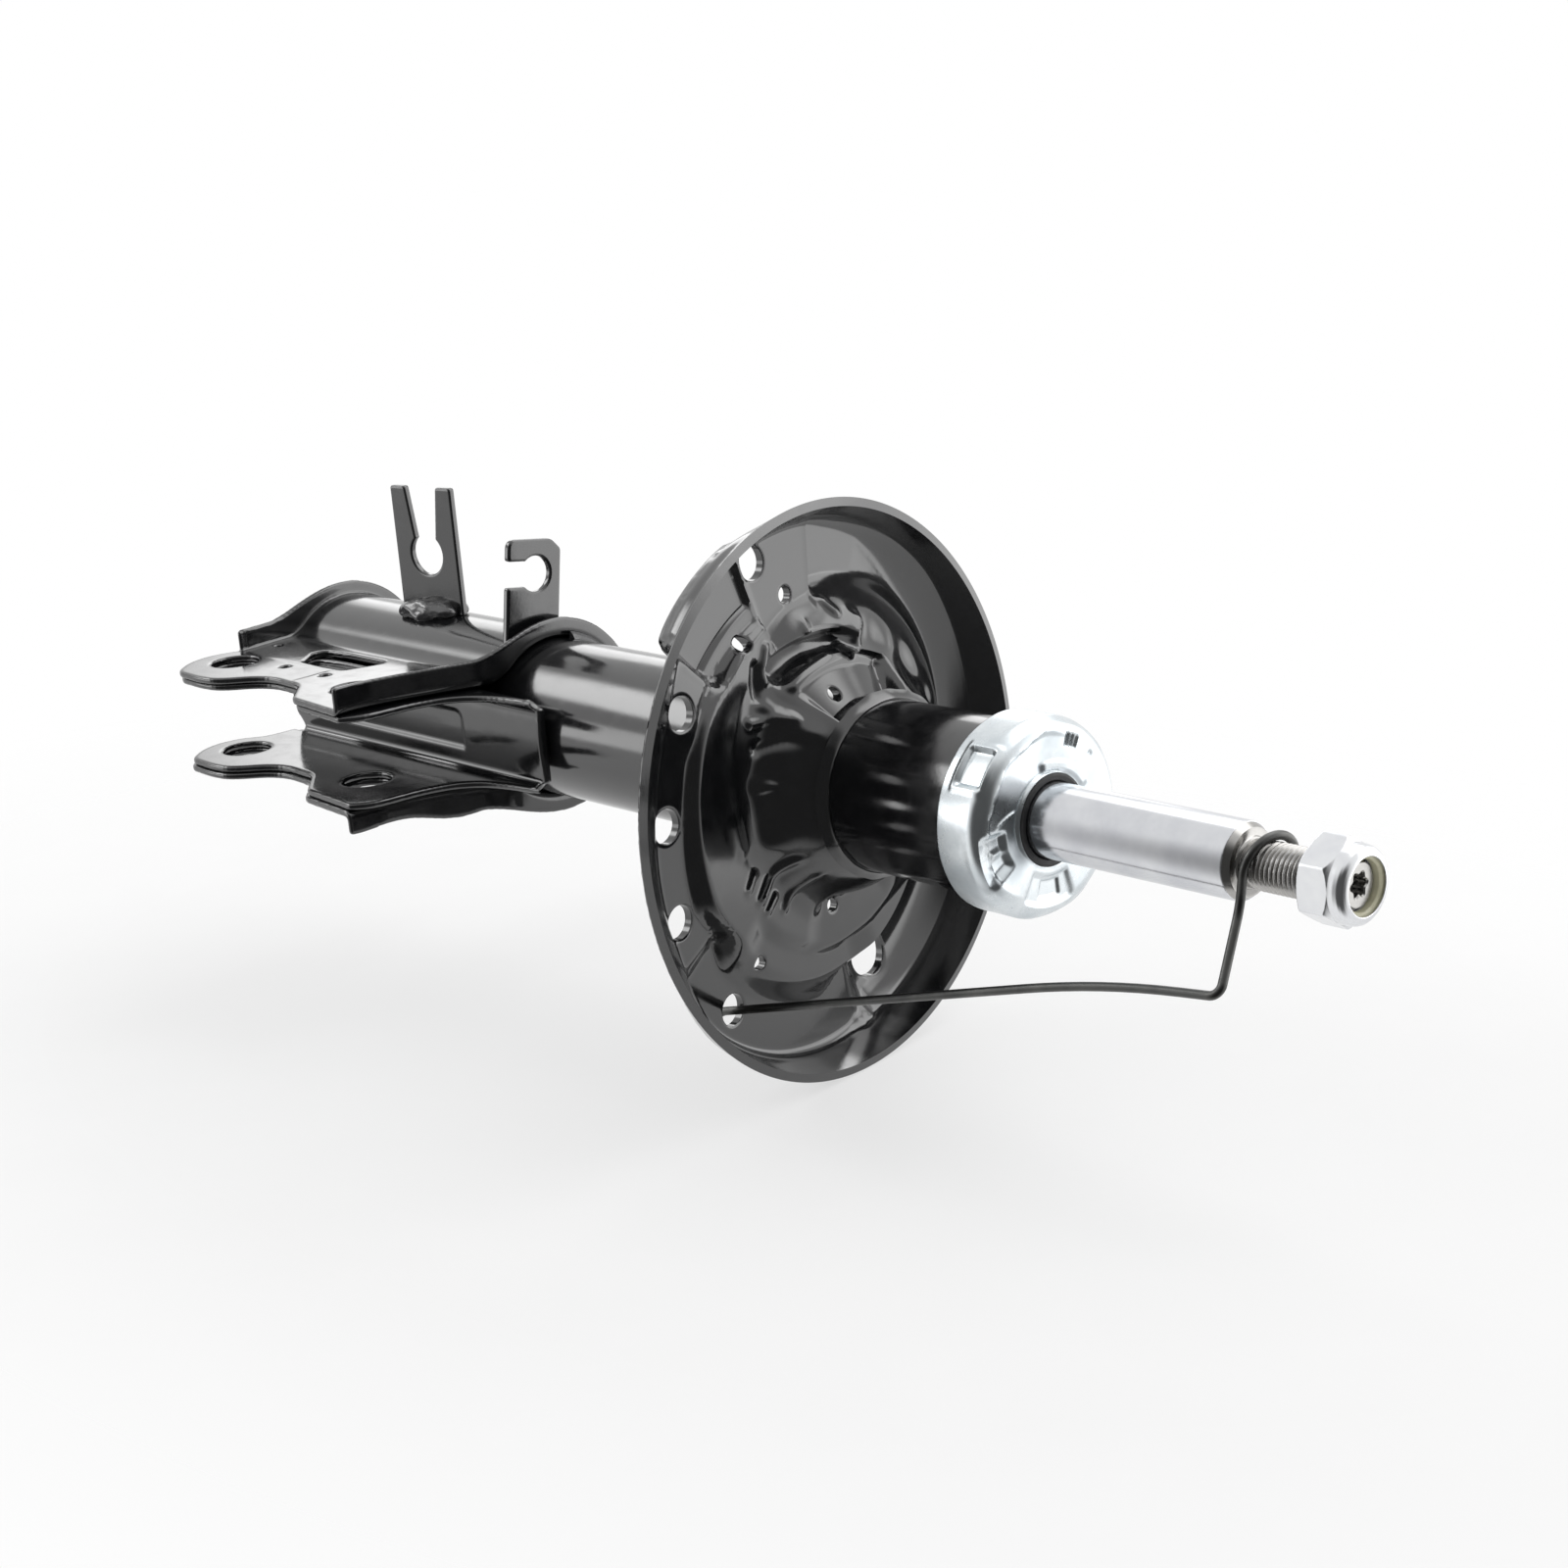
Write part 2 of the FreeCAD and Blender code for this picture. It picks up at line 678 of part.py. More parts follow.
def wall_foot(angle):
    """Radius of the outer wall's foot: steep, then a cone, then proud behind the raised land."""
    steep = SIZES["wall_foot_deep"]
    leaning = SIZES["wall_foot_high"]
    if angle < LAND_FOOT:
        return blend(steep, leaning, (angle - CONE_START) / (CONE_END - CONE_START))
    proud = steep + SIZES["wall_bulge"]
    if angle < LAND_ANGLE:
        return blend(leaning, proud, (angle - LAND_FOOT) / (LAND_ANGLE - LAND_FOOT) * 3.0)
    return blend(proud, steep, (angle - LAND_ANGLE) / (360.0 - LAND_ANGLE))


def seat_section(angle):
    """Closed sheet section of the seat's ring at one clock angle, as (radius, depth) points."""
    rim = SIZES["seat_radius"]
    gauge = SIZES["seat_sheet"]
    inner = SIZES["track_inner"]
    depth = track_depth(angle)
    land = min(land_depth(angle, inner - 6.0), depth - 1.0)
    foot = wall_foot(angle)
    heel = min(2.6, 0.25 * depth)
    run = rim - gauge - foot
    fall = depth - heel
    slant = math.hypot(run, fall)
    behind_foot = (foot + gauge * fall / slant, fall + gauge * run / slant)
    front = [(inner - 9.0, land), (inner - 3.5, land), (inner + 1.5, depth),
             (foot - 3.0, depth), (foot, depth - heel), (rim - gauge, 0)]
    behind = [(rim, 0.6), behind_foot, (foot - 2.0, depth + gauge),
              (inner + 0.4, depth + gauge), (inner - 4.6, land + gauge), (inner - 9.0, land + gauge)]
    points = [clock(angle, radius, -drop) for radius, drop in front + behind]
    return Part.makePolygon(points + [points[0]])


def seat_ring():
    """Coil track and outer wall, lofted round the clock in four stretches."""
    stretches = [(STOP_ANGLE, STOP_FOOT, 1, True), (STOP_FOOT, SECOND_STEP, 10, False),
                 (SECOND_STEP, SECOND_FOOT, 1, True), (SECOND_FOOT, 360.0 + STOP_ANGLE, 13, False)]
    pieces = []
    for first, last, steps, ruled in stretches:
        angles = [first + (last - first) * number / steps for number in range(steps + 1)]
        sections = [seat_section(angle if angle <= 360.0 else 360.0) if angle <= 360.0
                    else turned_section(angle) for angle in angles]
        pieces.append(Part.makeLoft(sections, True, ruled))
    ring = pieces[0].multiFuse(pieces[1:])
    return ring


def turned_section(angle):
    """The last stretch runs past the top of the clock on the land's depth."""
    section = seat_section(360.0)
    section.rotate(Vector(0, 0, 0), Vector(0, 0, 1), -(angle - 360.0))
    return section


SEAT_HOLES = {
    # clock angle, radius from the seat's centre, hole radius
    "land_big": (346.0, 76.3, 5.2),
    "land_small": (355.0, 62.0, 2.6),
    "crease_small": (331.0, 59.5, 2.3),
    "rise_first": (303.0, 72.4, 5.2),
    "rise_second": (277.0, 72.0, 5.2),
    "rise_third": (253.0, 72.0, 5.2),
    "low_small": (221.0, 57.6, 2.3),
    "wire": (219.5, 72.8, 5.0),
    "drain": (156.0, 69.0, 7.6),
}


# Pressed ribs that run down the hub: clock angle, radius and height over the rim of each end
RIB_RADIUS = 2.2
HUB_RIBS = [((246.0, 27.5, 12.6), (236.0, 44.5, -6.6)), ((213.0, 26.5, 12.6), (201.0, 40.5, -4.2))]


def rib(place, top, foot):
    """One rib as a round bar that lies in the hub's sheet and stands out of its front."""
    first, last = clock(*top), clock(*foot)
    bar = Part.makeCylinder(RIB_RADIUS, (last - first).Length, first, last - first)
    bar.Placement = place.multiply(bar.Placement)
    return bar


def spring_seat():
    """Pressed spring seat: helical track, end stop, wall, tilted centre panel and hub."""
    place = seat_placement()
    gauge = SIZES["seat_sheet"]
    inner = SIZES["track_inner"]
    ring = seat_ring()
    ring.Placement = place
    # centre panel: a flat disc tilted across the seat
    panel = Part.makeCylinder(inner - 5.0, gauge)
    tip = math.degrees(math.atan(4.5 / 50.0))
    panel.translate(Vector(0, 0, -7.5 - gauge))
    panel.rotate(Vector(0, 0, -7.5), Vector(1, 0, 0), tip)
    panel.Placement = place.multiply(panel.Placement)
    # hub: a dome round the tube that ends in a short collar
    bore = tube_radius.value + 0.05
    station = SIZES["seat_station"]
    top = station + SIZES["hub_height"]
    dome = [(station - 14.0, 50.0), (station - 6.5, 45.0), (station - 1.0, 40.0),
            (top - 6.0, 31.0), (top - 2.0, bore + gauge), (top, bore + gauge)]
    inside = [(top, bore), (top - 4.0, bore), (top - 9.0, 28.8), (station - 3.0, 37.2),
              (station - 9.5, 43.0), (station - 17.0, 47.6)]
    hub_points = dome + inside
    outline = Part.makePolygon([Vector(x, radius, 0) for x, radius in hub_points + hub_points[:1]])
    hub = Part.Face(outline).revolve(Vector(0, 0, 0), Vector(1, 0, 0), 360)
    # only the part of the dome in front of the centre panel is there
    front = Part.makeBox(300, 300, 120, Vector(-150, -150, -7.5 - gauge * 0.7))
    front.rotate(Vector(0, 0, -7.5), Vector(1, 0, 0), tip)
    front.Placement = place.multiply(front.Placement)
    hub = hub.common(front)
    clearance = Part.makeCylinder(bore + 8.0, 60, Vector(station - 45, 0, 0), Vector(1, 0, 0))
    panel = panel.cut(clearance)
    ribs = [rib(place, *ends) for ends in HUB_RIBS]
    seat = ring.multiFuse([panel, hub] + ribs)
    for angle, radius, half in SEAT_HOLES.values():
        tool = Part.makeCylinder(half, 60, clock(angle, radius, -50))
        tool.Placement = place.multiply(tool.Placement)
        seat = seat.cut(tool)
    seat = seat.cut(Part.makeCylinder(bore, 90, Vector(station - 50, 0, 0), Vector(1, 0, 0)))
    return named(solid_feature("seat_shape", seat), "spring_seat")


def seat_weld():
    """Fillet weld between the seat's collar and the tube."""
    start = size("seat_station") + size("hub_height")
    leg = size("seat_weld_leg")
    return turned("seat_weld", [
        (start + 0.02, tube_radius + 0.03),
        (start + leg, tube_radius + 0.03),
        (start + leg * 0.6, tube_radius + leg * 0.55),
        (start + 0.02, tube_radius + leg),
    ])


# Where the cap's pockets are: first and last angle, then inner and outer radius on the face
WALL_POCKET = (32.0, 53.0)
FACE_POCKETS = [(-31.0, 3.0, 19.0, 25.5), (-107.0, -57.0, 16.0, 23.5), (110.0, 124.0, 21.0, 25.5)]


def top_cap():
    """Zinc plated cap over the tube's end, with pockets pressed into wall and face."""
    wall = size("cap_wall")
    outer = tube_radius + size("cap_stand_off") + wall
    start = size("cap_start")
    face = size("cap_face")
    bore = size("cap_bore") / 2
    body = turned("cap_body", [
        (start, tube_radius + 0.1), (start, outer), (face - 5.0, outer),
        (face - 1.8, outer - 1.6), (face, outer - 4.6), (face, bore),
        (face - wall, bore), (face - wall, outer - 5.6), (face - 4.6, outer - 3.0),
        (face - 6.4, outer - wall), (start + 7.0, outer - wall), (start + 4.0, tube_radius + 0.1),
    ])
    return named(cut("cap_pressed", body, cap_pockets(outer)), "bump_cap")


def ring_sector(name, first, last, inner, outer, start, length):
    """A four cornered piece of a ring, raised along X; angles run from -Y toward +Z."""
    corners = []
    for angle, radius in ((first, inner), (first, outer), (last, outer), (last, inner)):
        turn = math.radians(angle)
        corners.append((-radius * math.cos(turn), radius * math.sin(turn)))
    return plate(name, "YZ_Plane", corners, start, length)


def cap_pockets(outer):
    """Pressed pockets: a flat one in the wall, three in the face."""
    depth = size("cap_pocket_depth")
    bottom = size("cap_face") - depth
    flat = (outer - depth) / math.cos(math.radians(WALL_POCKET[1] - WALL_POCKET[0]) / 2)
    pockets = [ring_sector("cap_wall_pocket", *WALL_POCKET, flat, outer + 1.0,
                           size("cap_start") + 4.5, 7.5)]
    for number, (first, last, inner, rim) in enumerate(FACE_POCKETS):
        pockets.append(ring_sector(f"cap_face_pocket_{number}", first, last, as_size(inner),
                                   as_size(rim), bottom, depth + 1.0))
    return pockets


def rod_wiper():
    """Black rubber lip in the cap's bore, round the rod."""
    face = size("cap_face")
    lip = size("cap_bore") / 2 - 0.02
    length = size("wiper_length")
    inner = rod_radius + size("running_gap")
    return turned("rod_wiper", [
        (face - length, inner + 0.9), (face - length, lip), (face + 0.2, lip),
        (face + 0.5, lip - 0.7), (face + 0.3, inner + 0.5), (face - 0.7, inner),
        (face - 1.6, inner), (face - 2.4, inner + 0.9),
    ])


def rod_guide():
    """Sintered guide that closes the pressure tube and centres the rod."""
    start = size("guide_start")
    step = start + size("guide_step")
    plug = pressure_bore - 0.05
    bush = rod_radius + size("running_gap") + size("bush_wall") + 0.01
    body = turned("rod_guide", [
        (start, bush), (start, plug - 1.0), (start + 1.0, plug), (step, plug),
        (step, tube_bore - 0.05), (guide_end, tube_bore - 0.05),
        (guide_end, bush + 4.5), (guide_end - 3.0, bush + 2.0), (guide_end - 3.0, bush),
    ])
    return body


def guide_bush():
    """Split sleeve bearing pressed into the guide."""
    start = size("guide_start") + 0.5
    inner = rod_radius + size("running_gap")
    outer = inner + size("bush_wall")
    stop = guide_end - 3.2
    return turned("guide_bush", [(start, inner), (stop, inner), (stop, outer), (start, outer)])


def oil_seal():
    """Rubber lip seal bonded to a steel washer, clamped by the rolled tube end."""
    start = guide_end + 0.02
    stop = size("tube_length") - size("roll_height") - 0.02
    inner = rod_radius + size("running_gap")
    rim = tube_bore - 0.1
    return turned("oil_seal", [
        (start, inner + 6.5), (start, rim), (stop, rim), (stop, inner + 3.0),
        (stop - 1.0, inner + 1.5), (stop - 2.0, inner), (stop - 3.0, inner),
        (stop - 3.6, inner + 1.8), (start + 2.0, inner + 2.6),
    ])


def pressure_tube():
    """Inner cylinder, from the foot valve to the rod guide."""
    start = size("foot_start") + size("foot_height") - 4.0
    stop = size("guide_start") + size("guide_step") - 0.02
    return turned("pressure_tube", [
        (start, pressure_bore), (stop, pressure_bore),
        (stop, pressure_outer), (start, pressure_outer)])


def foot_valve_body():
    """Foot valve: a stepped plug with oil slots, between the base cup and the inner tube."""
    start = size("foot_start")
    top = start + size("foot_height")
    seat = top - 4.02
    body = turned("foot_valve_plug", [
        (start - 2.96, pressure_outer - 5.5), (start - 2.96, tube_bore - 3.4),
        (start, pressure_outer + 1.0), (seat, pressure_outer), (seat, pressure_bore - 0.05),
        (top, pressure_bore - 1.0), (top, 4.1), (start, 4.1), (start, pressure_outer - 5.5)])
    tools = []
    count = 4
    for number in range(count):
        turn = math.radians(360.0 / count * (number + 0.5))
        tools.append(rod_along(f"foot_port_{number}", (1, 0, 0),
                               (start - 1.0, 9.6 * math.cos(turn), 9.6 * math.sin(turn)),
                               1.7, size("foot_height") + 2.0))
    return named(cut("foot_valve_ported", body, tools), "foot_valve_body")


def disc_stack(name, start, heading, inner, outer):
    """Thin shim discs that shrink as they leave the valve face."""
    gauge = size("disc_sheet")
    corners_inner = [(start, inner)]
    corners_outer = []
    place = as_size(start)
    for number in range(int(SIZES["disc_count"])):
        edge = outer - 1.8 * number
        corners_outer.append((place, edge))
        place = place + gauge * heading
        corners_outer.append((place, edge))
    return turned(name, corners_inner + corners_outer + [(place, inner)])


def foot_valve_bolt():
    """Rivet bolt through the foot valve and its discs."""
    start = size("foot_start")
    top = start + size("foot_height")
    stack = size("disc_sheet") * SIZES["disc_count"]
    return turned("foot_valve_bolt", [
        (start - 2.2, 0), (start - 2.2, 6.0), (start - 0.02, 6.6), (start - 0.02, 4.0),
        (top + stack + 0.02, 4.0), (top + stack + 0.02, 6.0), (top + stack + 3.4, 5.2),
        (top + stack + 3.4, 0)])


def piston_rod():
    """Chromed rod with a threaded stud on top and a spigot for the piston below."""
    low = size("spigot_start")
    seat = size("piston_start") + size("piston_height") + size("disc_sheet") * SIZES["disc_count"]
    face = size("rod_shoulder")
    chamfer = size("shoulder_chamfer")
    neck = stud_radius - 0.25
    relief = size("stud_relief")
    body = turned("rod_bar", [
        (low, 0), (low, spigot_radius - 1.0), (low + 1.0, spigot_radius), (seat, spigot_radius),
        (seat, rod_radius - 0.6), (seat + 0.6, rod_radius),
        (face - chamfer * 1.3, rod_radius), (face - 0.3, rod_radius - chamfer + 0.3),
        (face, rod_radius - chamfer), (face, neck),
        (face + relief, neck), (face + relief + 0.5, stud_radius),
        (size("stud_end") - 1.2, stud_radius), (size("stud_end"), stud_radius - 1.2),
        (size("stud_end"), 0)])
    across = size("socket_across") / 2
    stop = size("stud_end")
    half = across / math.cos(math.radians(30))
    socket = plate("rod_socket", "YZ_Plane", [
        (half * math.cos(math.radians(60 * k)), half * math.sin(math.radians(60 * k)))
        for k in range(6)], stop - size("socket_depth"), size("socket_depth") + 1.0)
    return named(cut("rod_with_socket", body, [socket]), "piston_rod")


def piston():
    """Sintered piston with a groove for its ring and a circle of oil ports."""
    start = size("piston_start")
    stop = start + size("piston_height")
    skirt = pressure_bore - size("piston_gap")
    middle = (start + stop) / 2
    half_ring = size("ring_height") / 2 + 0.05
    groove = skirt - size("ring_depth")
    bore = spigot_radius + 0.03
    body = turned("piston_blank", [
        (start, bore), (start, skirt - 1.5), (start + 1.0, skirt), (middle - half_ring, skirt),
        (middle - half_ring, groove), (middle + half_ring, groove), (middle + half_ring, skirt),
        (stop - 1.0, skirt), (stop, skirt - 1.5), (stop, bore)])
    tools = []
    count = 6
    for number in range(count):
        turn = math.radians(360.0 / count * number)
        tools.append(rod_along(f"piston_port_{number}", (1, 0, 0),
                               (start - 1.0, 10.2 * math.cos(turn), 10.2 * math.sin(turn)),
                               1.5, size("piston_height") + 2.0))
    return named(cut("piston_ported", body, tools), "piston")


def piston_ring():
    """Low friction band in the piston's groove."""
    start = size("piston_start")
    middle = start + size("piston_height") / 2
    half = size("ring_height") / 2
    outer = pressure_bore - size("running_gap")
    inner = pressure_bore - size("piston_gap") - size("ring_depth") + size("running_gap")
    return turned("piston_ring", [
        (middle - half, inner), (middle - half, outer - 0.3), (middle - half + 0.4, outer),
        (middle + half - 0.4, outer), (middle + half, outer - 0.3), (middle + half, inner)])


def piston_nut():
    """Hexagon nut on the rod's spigot, under the piston."""
    stack = size("disc_sheet") * SIZES["disc_count"]
    stop = size("piston_start") - stack - 0.02
    start = size("spigot_start") + 1.4
    half = 9.5 / math.cos(math.radians(30))
    body = plate("piston_nut_hex", "YZ_Plane", [
        (half * math.cos(math.radians(60 * k)), half * math.sin(math.radians(60 * k)))
        for k in range(6)], start, stop - start)
    bore = rod_along("piston_nut_bore", (1, 0, 0), (start - 1.0, 0, 0),
                     spigot_radius + size("thread_gap"), stop - start + 2.0)
    return named(cut("piston_nut_tapped", body, [bore]), "piston_nut")


def rebound_stop():
    """Steel ring pressed on the rod; it carries the rebound bumper."""
    stop = size("guide_start") - size("stroke") - size("bumper_height") - 0.5
    start = stop - size("stop_height")
    outer = size("stop_diameter") / 2
    inner = rod_radius + 0.03
    return turned("rebound_stop", [
        (start, inner), (start, outer - 1.5), (start + 1.0, outer), (stop, outer), (stop, inner)])


def rebound_bumper():
    """Polymer ring that meets the rod guide at full stroke."""
    stop = size("guide_start") - size("stroke") - 0.45
    start = stop - size("bumper_height")
    outer = size("stop_diameter") / 2 - 0.6
    inner = rod_radius + 0.1
    return turned("rebound_bumper", [
        (start, inner), (start, outer), (start + 3.5, outer), (start + 4.5, outer - 1.0),
        (start + 5.5, outer), (stop - 1.5, outer), (stop, outer - 1.5), (stop, inner)])


def top_nut():
    """Self locking hexagon nut with a rounded collar over its insert."""
    start = size("nut_start")
    height = size("nut_height")
    hex_top = start + size("nut_hex_height")
    stop = start + height
    corner = size("nut_across") / 2 / math.cos(math.radians(30))
    chamfer = size("nut_across") / 2 - 0.3
    collar = size("nut_collar_radius")
    bore = stud_radius + size("thread_gap")
    pocket = collar - 1.5
    profile = turned("nut_turning", [
        (start, bore), (start, chamfer), (start + 1.1, corner), (hex_top - 1.0, corner),
        (hex_top, chamfer), (hex_top + 0.3, collar + 0.2), (stop - 1.8, collar),
        (stop - 0.5, collar - 0.8), (stop, collar - 2.0), (stop, pocket - 1.1),
        (stop - 0.9, pocket - 0.6), (stop - 0.9, pocket),
        (stop - 0.9 - size("insert_height"), pocket), (stop - 0.9 - size("insert_height"), bore)])
    half = size("nut_across") / 2 / math.cos(math.radians(30))
    hexagon = plate("nut_hexagon", "YZ_Plane", [
        (half * math.cos(math.radians(60 * k)), half * math.sin(math.radians(60 * k)))
        for k in range(6)], start - 1.0, height + 2.0)
    return named(common("nut_whole", profile, hexagon), "top_nut")


def nylon_insert():
    """Ivory locking ring held under the nut's collar."""
    stop = size("nut_start") + size("nut_height") - 0.92
    start = stop - size("insert_height") + 0.04
    outer = size("nut_collar_radius") - 1.52
    return turned("nylon_insert", [
        (start, stud_radius + 0.02), (stop - 0.6, stud_radius + 0.02), (stop, stud_radius + 0.5),
        (stop, outer), (start, outer)])


# The transport wire lies in one plane through the strut's axis, except for its loop.
# Route of the arm, chosen by hand: distance along the strut and distance from the axis.
WIRE_HEADING = 51.2
WIRE_CORNER = (421.7, 37.5)
WIRE_BEND = (383.4, 41.9)
WIRE_TAIL = (253.4, 79.6)
WIRE_END = (251.4, 81.0)
WIRE_RADII = (9.0, 3.2, 300.0, 2.2)
LOOP_SWEEP = 246.0


def corner_arc(before, corner, after, radius):
    """Two tangent points and the middle of the arc that rounds one corner."""
    back = (before - corner).normalize()
    ahead = (after - corner).normalize()
    half = math.acos(max(-1.0, min(1.0, back.dot(ahead)))) / 2
    run = radius / math.tan(half)
    middle_way = (back + ahead).normalize()
    centre = corner + middle_way * (radius / math.sin(half))
    return corner + back * run, centre - middle_way * radius, corner + ahead * run


def rounded_path(points, radii):
    """Straight runs joined by tangent arcs."""
    edges = []
    start = points[0]
    for number in range(1, len(points) - 1):
        first, middle, last = corner_arc(points[number - 1], points[number],
                                         points[number + 1], radii[number - 1])
        edges.append(Part.LineSegment(start, first).toShape())
        edges.append(Part.Arc(first, middle, last).toShape())
        start = last
    edges.append(Part.LineSegment(start, points[-1]).toShape())
    return edges


def retaining_wire():
    """Spring steel wire: a loop round the stud, a leg, a long arm and a hook in the seat."""
    half = SIZES["wire_diameter"] / 2
    gap = SIZES["wire_gap"]
    stud = SIZES["stud_diameter"] / 2
    heading = math.radians(WIRE_HEADING)
    outward = Vector(0, -math.cos(heading), -math.sin(heading))

    def in_plane(along, out):
        return Vector(along, 0, 0) + outward * out

    # the loop is tipped: its top sits further up the stud than its knee
    knee = in_plane(SIZES["rod_shoulder"] + half + gap, SIZES["rod_diameter"] / 2 + half)
    centre = Vector(SIZES["rod_shoulder"] + 5.5, 0, 0)
    normal = Vector(1, -0.175, -0.262).normalize()
    knee = knee - normal * (knee - centre).dot(normal)
    toward_knee = (knee - centre).normalize()
    across = toward_knee.cross(normal).normalize()
    tilt = math.acos(normal.x)
    loop = (stud + half + gap) / math.cos(tilt)
    leave = math.acos(loop / (knee - centre).Length)

    def on_loop(angle):
        return centre + toward_knee * (loop * math.cos(angle)) + across * (loop * math.sin(angle))

    middle = leave + math.radians(LOOP_SWEEP) / 2
    last = leave + math.radians(LOOP_SWEEP)
    quarter = (leave + middle) / 2
    first_arc = Part.Arc(on_loop(last), on_loop((last + middle) / 2), on_loop(middle))
    second_arc = Part.Arc(on_loop(middle), on_loop(quarter), on_loop(leave))
    corners = [on_loop(leave), knee]
    corners += [in_plane(*spot) for spot in (WIRE_CORNER, WIRE_BEND, WIRE_TAIL, WIRE_END)]
    edges = [first_arc.toShape(), second_arc.toShape()] + rounded_path(corners, WIRE_RADII)
    path = Part.Wire(edges)
    direction = first_arc.tangent(first_arc.FirstParameter)[0]
    circle = Part.Wire(Part.Circle(on_loop(last), direction, half).toShape())
    wire = path.makePipeShell([circle], True, False)
    length = sum(edge.Length for edge in edges)
    expected = math.pi * half * half * length
    print(f"retaining wire length {length:.1f}, volume {wire.Volume:.0f} of {expected:.0f}")
    return named(solid_feature("wire_shape", wire), "retaining_wire")


def hose_weld():
    """Weld bead along the foot of the hose bracket."""
    half = SIZES["hose_plate_width"] / 2 - 1.0
    outer = wrap_outer.value
    turn = Rotation(Vector(0, 0, 1), SIZES["hose_plate_turn"])
    station = SIZES["hose_plate_station"]
    beads = []
    bead_radius = 2.6
    for side in (-1, 1):
        offset = -SIZES["clip_sheet"] - 0.6 if side < 0 else 0.6
        path_start = turn.multVec(Vector(-half, offset, 0)) + Vector(station, 0, 0)
        path_stop = turn.multVec(Vector(half, offset, 0)) + Vector(station, 0, 0)
        path_start.z = math.sqrt(outer ** 2 - path_start.y ** 2) + 0.4
        path_stop.z = math.sqrt(outer ** 2 - path_stop.y ** 2) + 0.4
        run = path_stop - path_start
        bead = Part.makeCylinder(bead_radius, run.Length, path_start, run)
        ends = [Part.makeCone(bead_radius, bead_radius / 2, bead_radius * 0.7, spot, heading)
                for spot, heading in ((path_start, -run), (path_stop, run))]
        beads.append(bead.multiFuse(ends))
    bead = beads[0].fuse(beads[1])
    bead = bead.cut(Part.makeCylinder(outer + 0.02, 300, Vector(0, 0, 0), Vector(1, 0, 0)))
    plate_shape = doc.getObject("hose_on_wrap").Shape
    return named(solid_feature("hose_weld_shape", bead.cut(plate_shape)), "hose_bracket_weld")


WRAP_WELD_SWEEP = 150.0


def wrap_weld():
    """Weld bead between the wrap's right flange and the tube, on the side away from the ears."""
    radius = tube_radius.value + 0.05
    end = bracket_end.value
    ring = Part.Face(Part.makePolygon([
        Vector(end + 0.02, radius, 0), Vector(end + 3.0, radius, 0),
        Vector(end + 1.6, radius + 1.4, 0), Vector(end + 0.02, radius + 2.4, 0),
        Vector(end + 0.02, radius, 0)]))
    ring.rotate(Vector(0, 0, 0), Vector(1, 0, 0), -WRAP_WELD_SWEEP / 2)
    bead = ring.revolve(Vector(0, 0, 0), Vector(1, 0, 0), WRAP_WELD_SWEEP)
    return named(solid_feature("wrap_weld_shape", bead), "bracket_weld")


BUILDERS = [
    outer_tube, base_cup, knuckle_bracket, knuckle_channel, hose_bracket, hose_weld,
    line_bracket, wrap_weld, spring_seat, seat_weld, top_cap, rod_wiper, oil_seal,
    rod_guide, guide_bush, pressure_tube, foot_valve_body, foot_valve_bolt,
    piston_rod, piston, piston_ring, piston_nut, rebound_stop, rebound_bumper,
    top_nut, nylon_insert, retaining_wire,
]


def valve_discs():
    """Shim stacks on both faces of the piston and on the foot valve."""
    stack_inner = spigot_radius + 0.03
    below = size("piston_start") - 0.02
    above = size("piston_start") + size("piston_height") + 0.02
    foot = size("foot_start") + size("foot_height") + 0.02
    return [
        disc_stack("rebound_discs", below, -1, stack_inner, 13.0),
        disc_stack("compression_discs", above, 0.97, stack_inner, 13.0),
        disc_stack("foot_valve_discs", foot, 0.98, 4.05, 12.5),
    ]


def check_and_write(parts):
    """Stops on any failed object, then writes one file for each node."""
    doc.recompute()
    for item in doc.Objects:
        if any(word in state for state in item.State for word in ("Invalid", "Error")):
            raise RuntimeError(f"{item.Name} failed: {item.State}")
    for part in parts:
        if part.Shape.isNull() or not part.Shape.isValid():
            raise RuntimeError(f"{part.Label} has no valid shape")
    os.makedirs("parts", exist_ok=True)
    for part in parts:
        part.Shape.exportStep(os.path.join("parts", part.Label + ".step"))
        print(f"{part.Label}: {len(part.Shape.Solids)} solid, {part.Shape.Volume / 1000:.2f} cm3")


parts = [build() for build in BUILDERS] + valve_discs()
check_and_write(parts)
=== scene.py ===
import json
import math

import bmesh
import bpy
import numpy as np
from mathutils import Matrix, Vector, geometry, noise


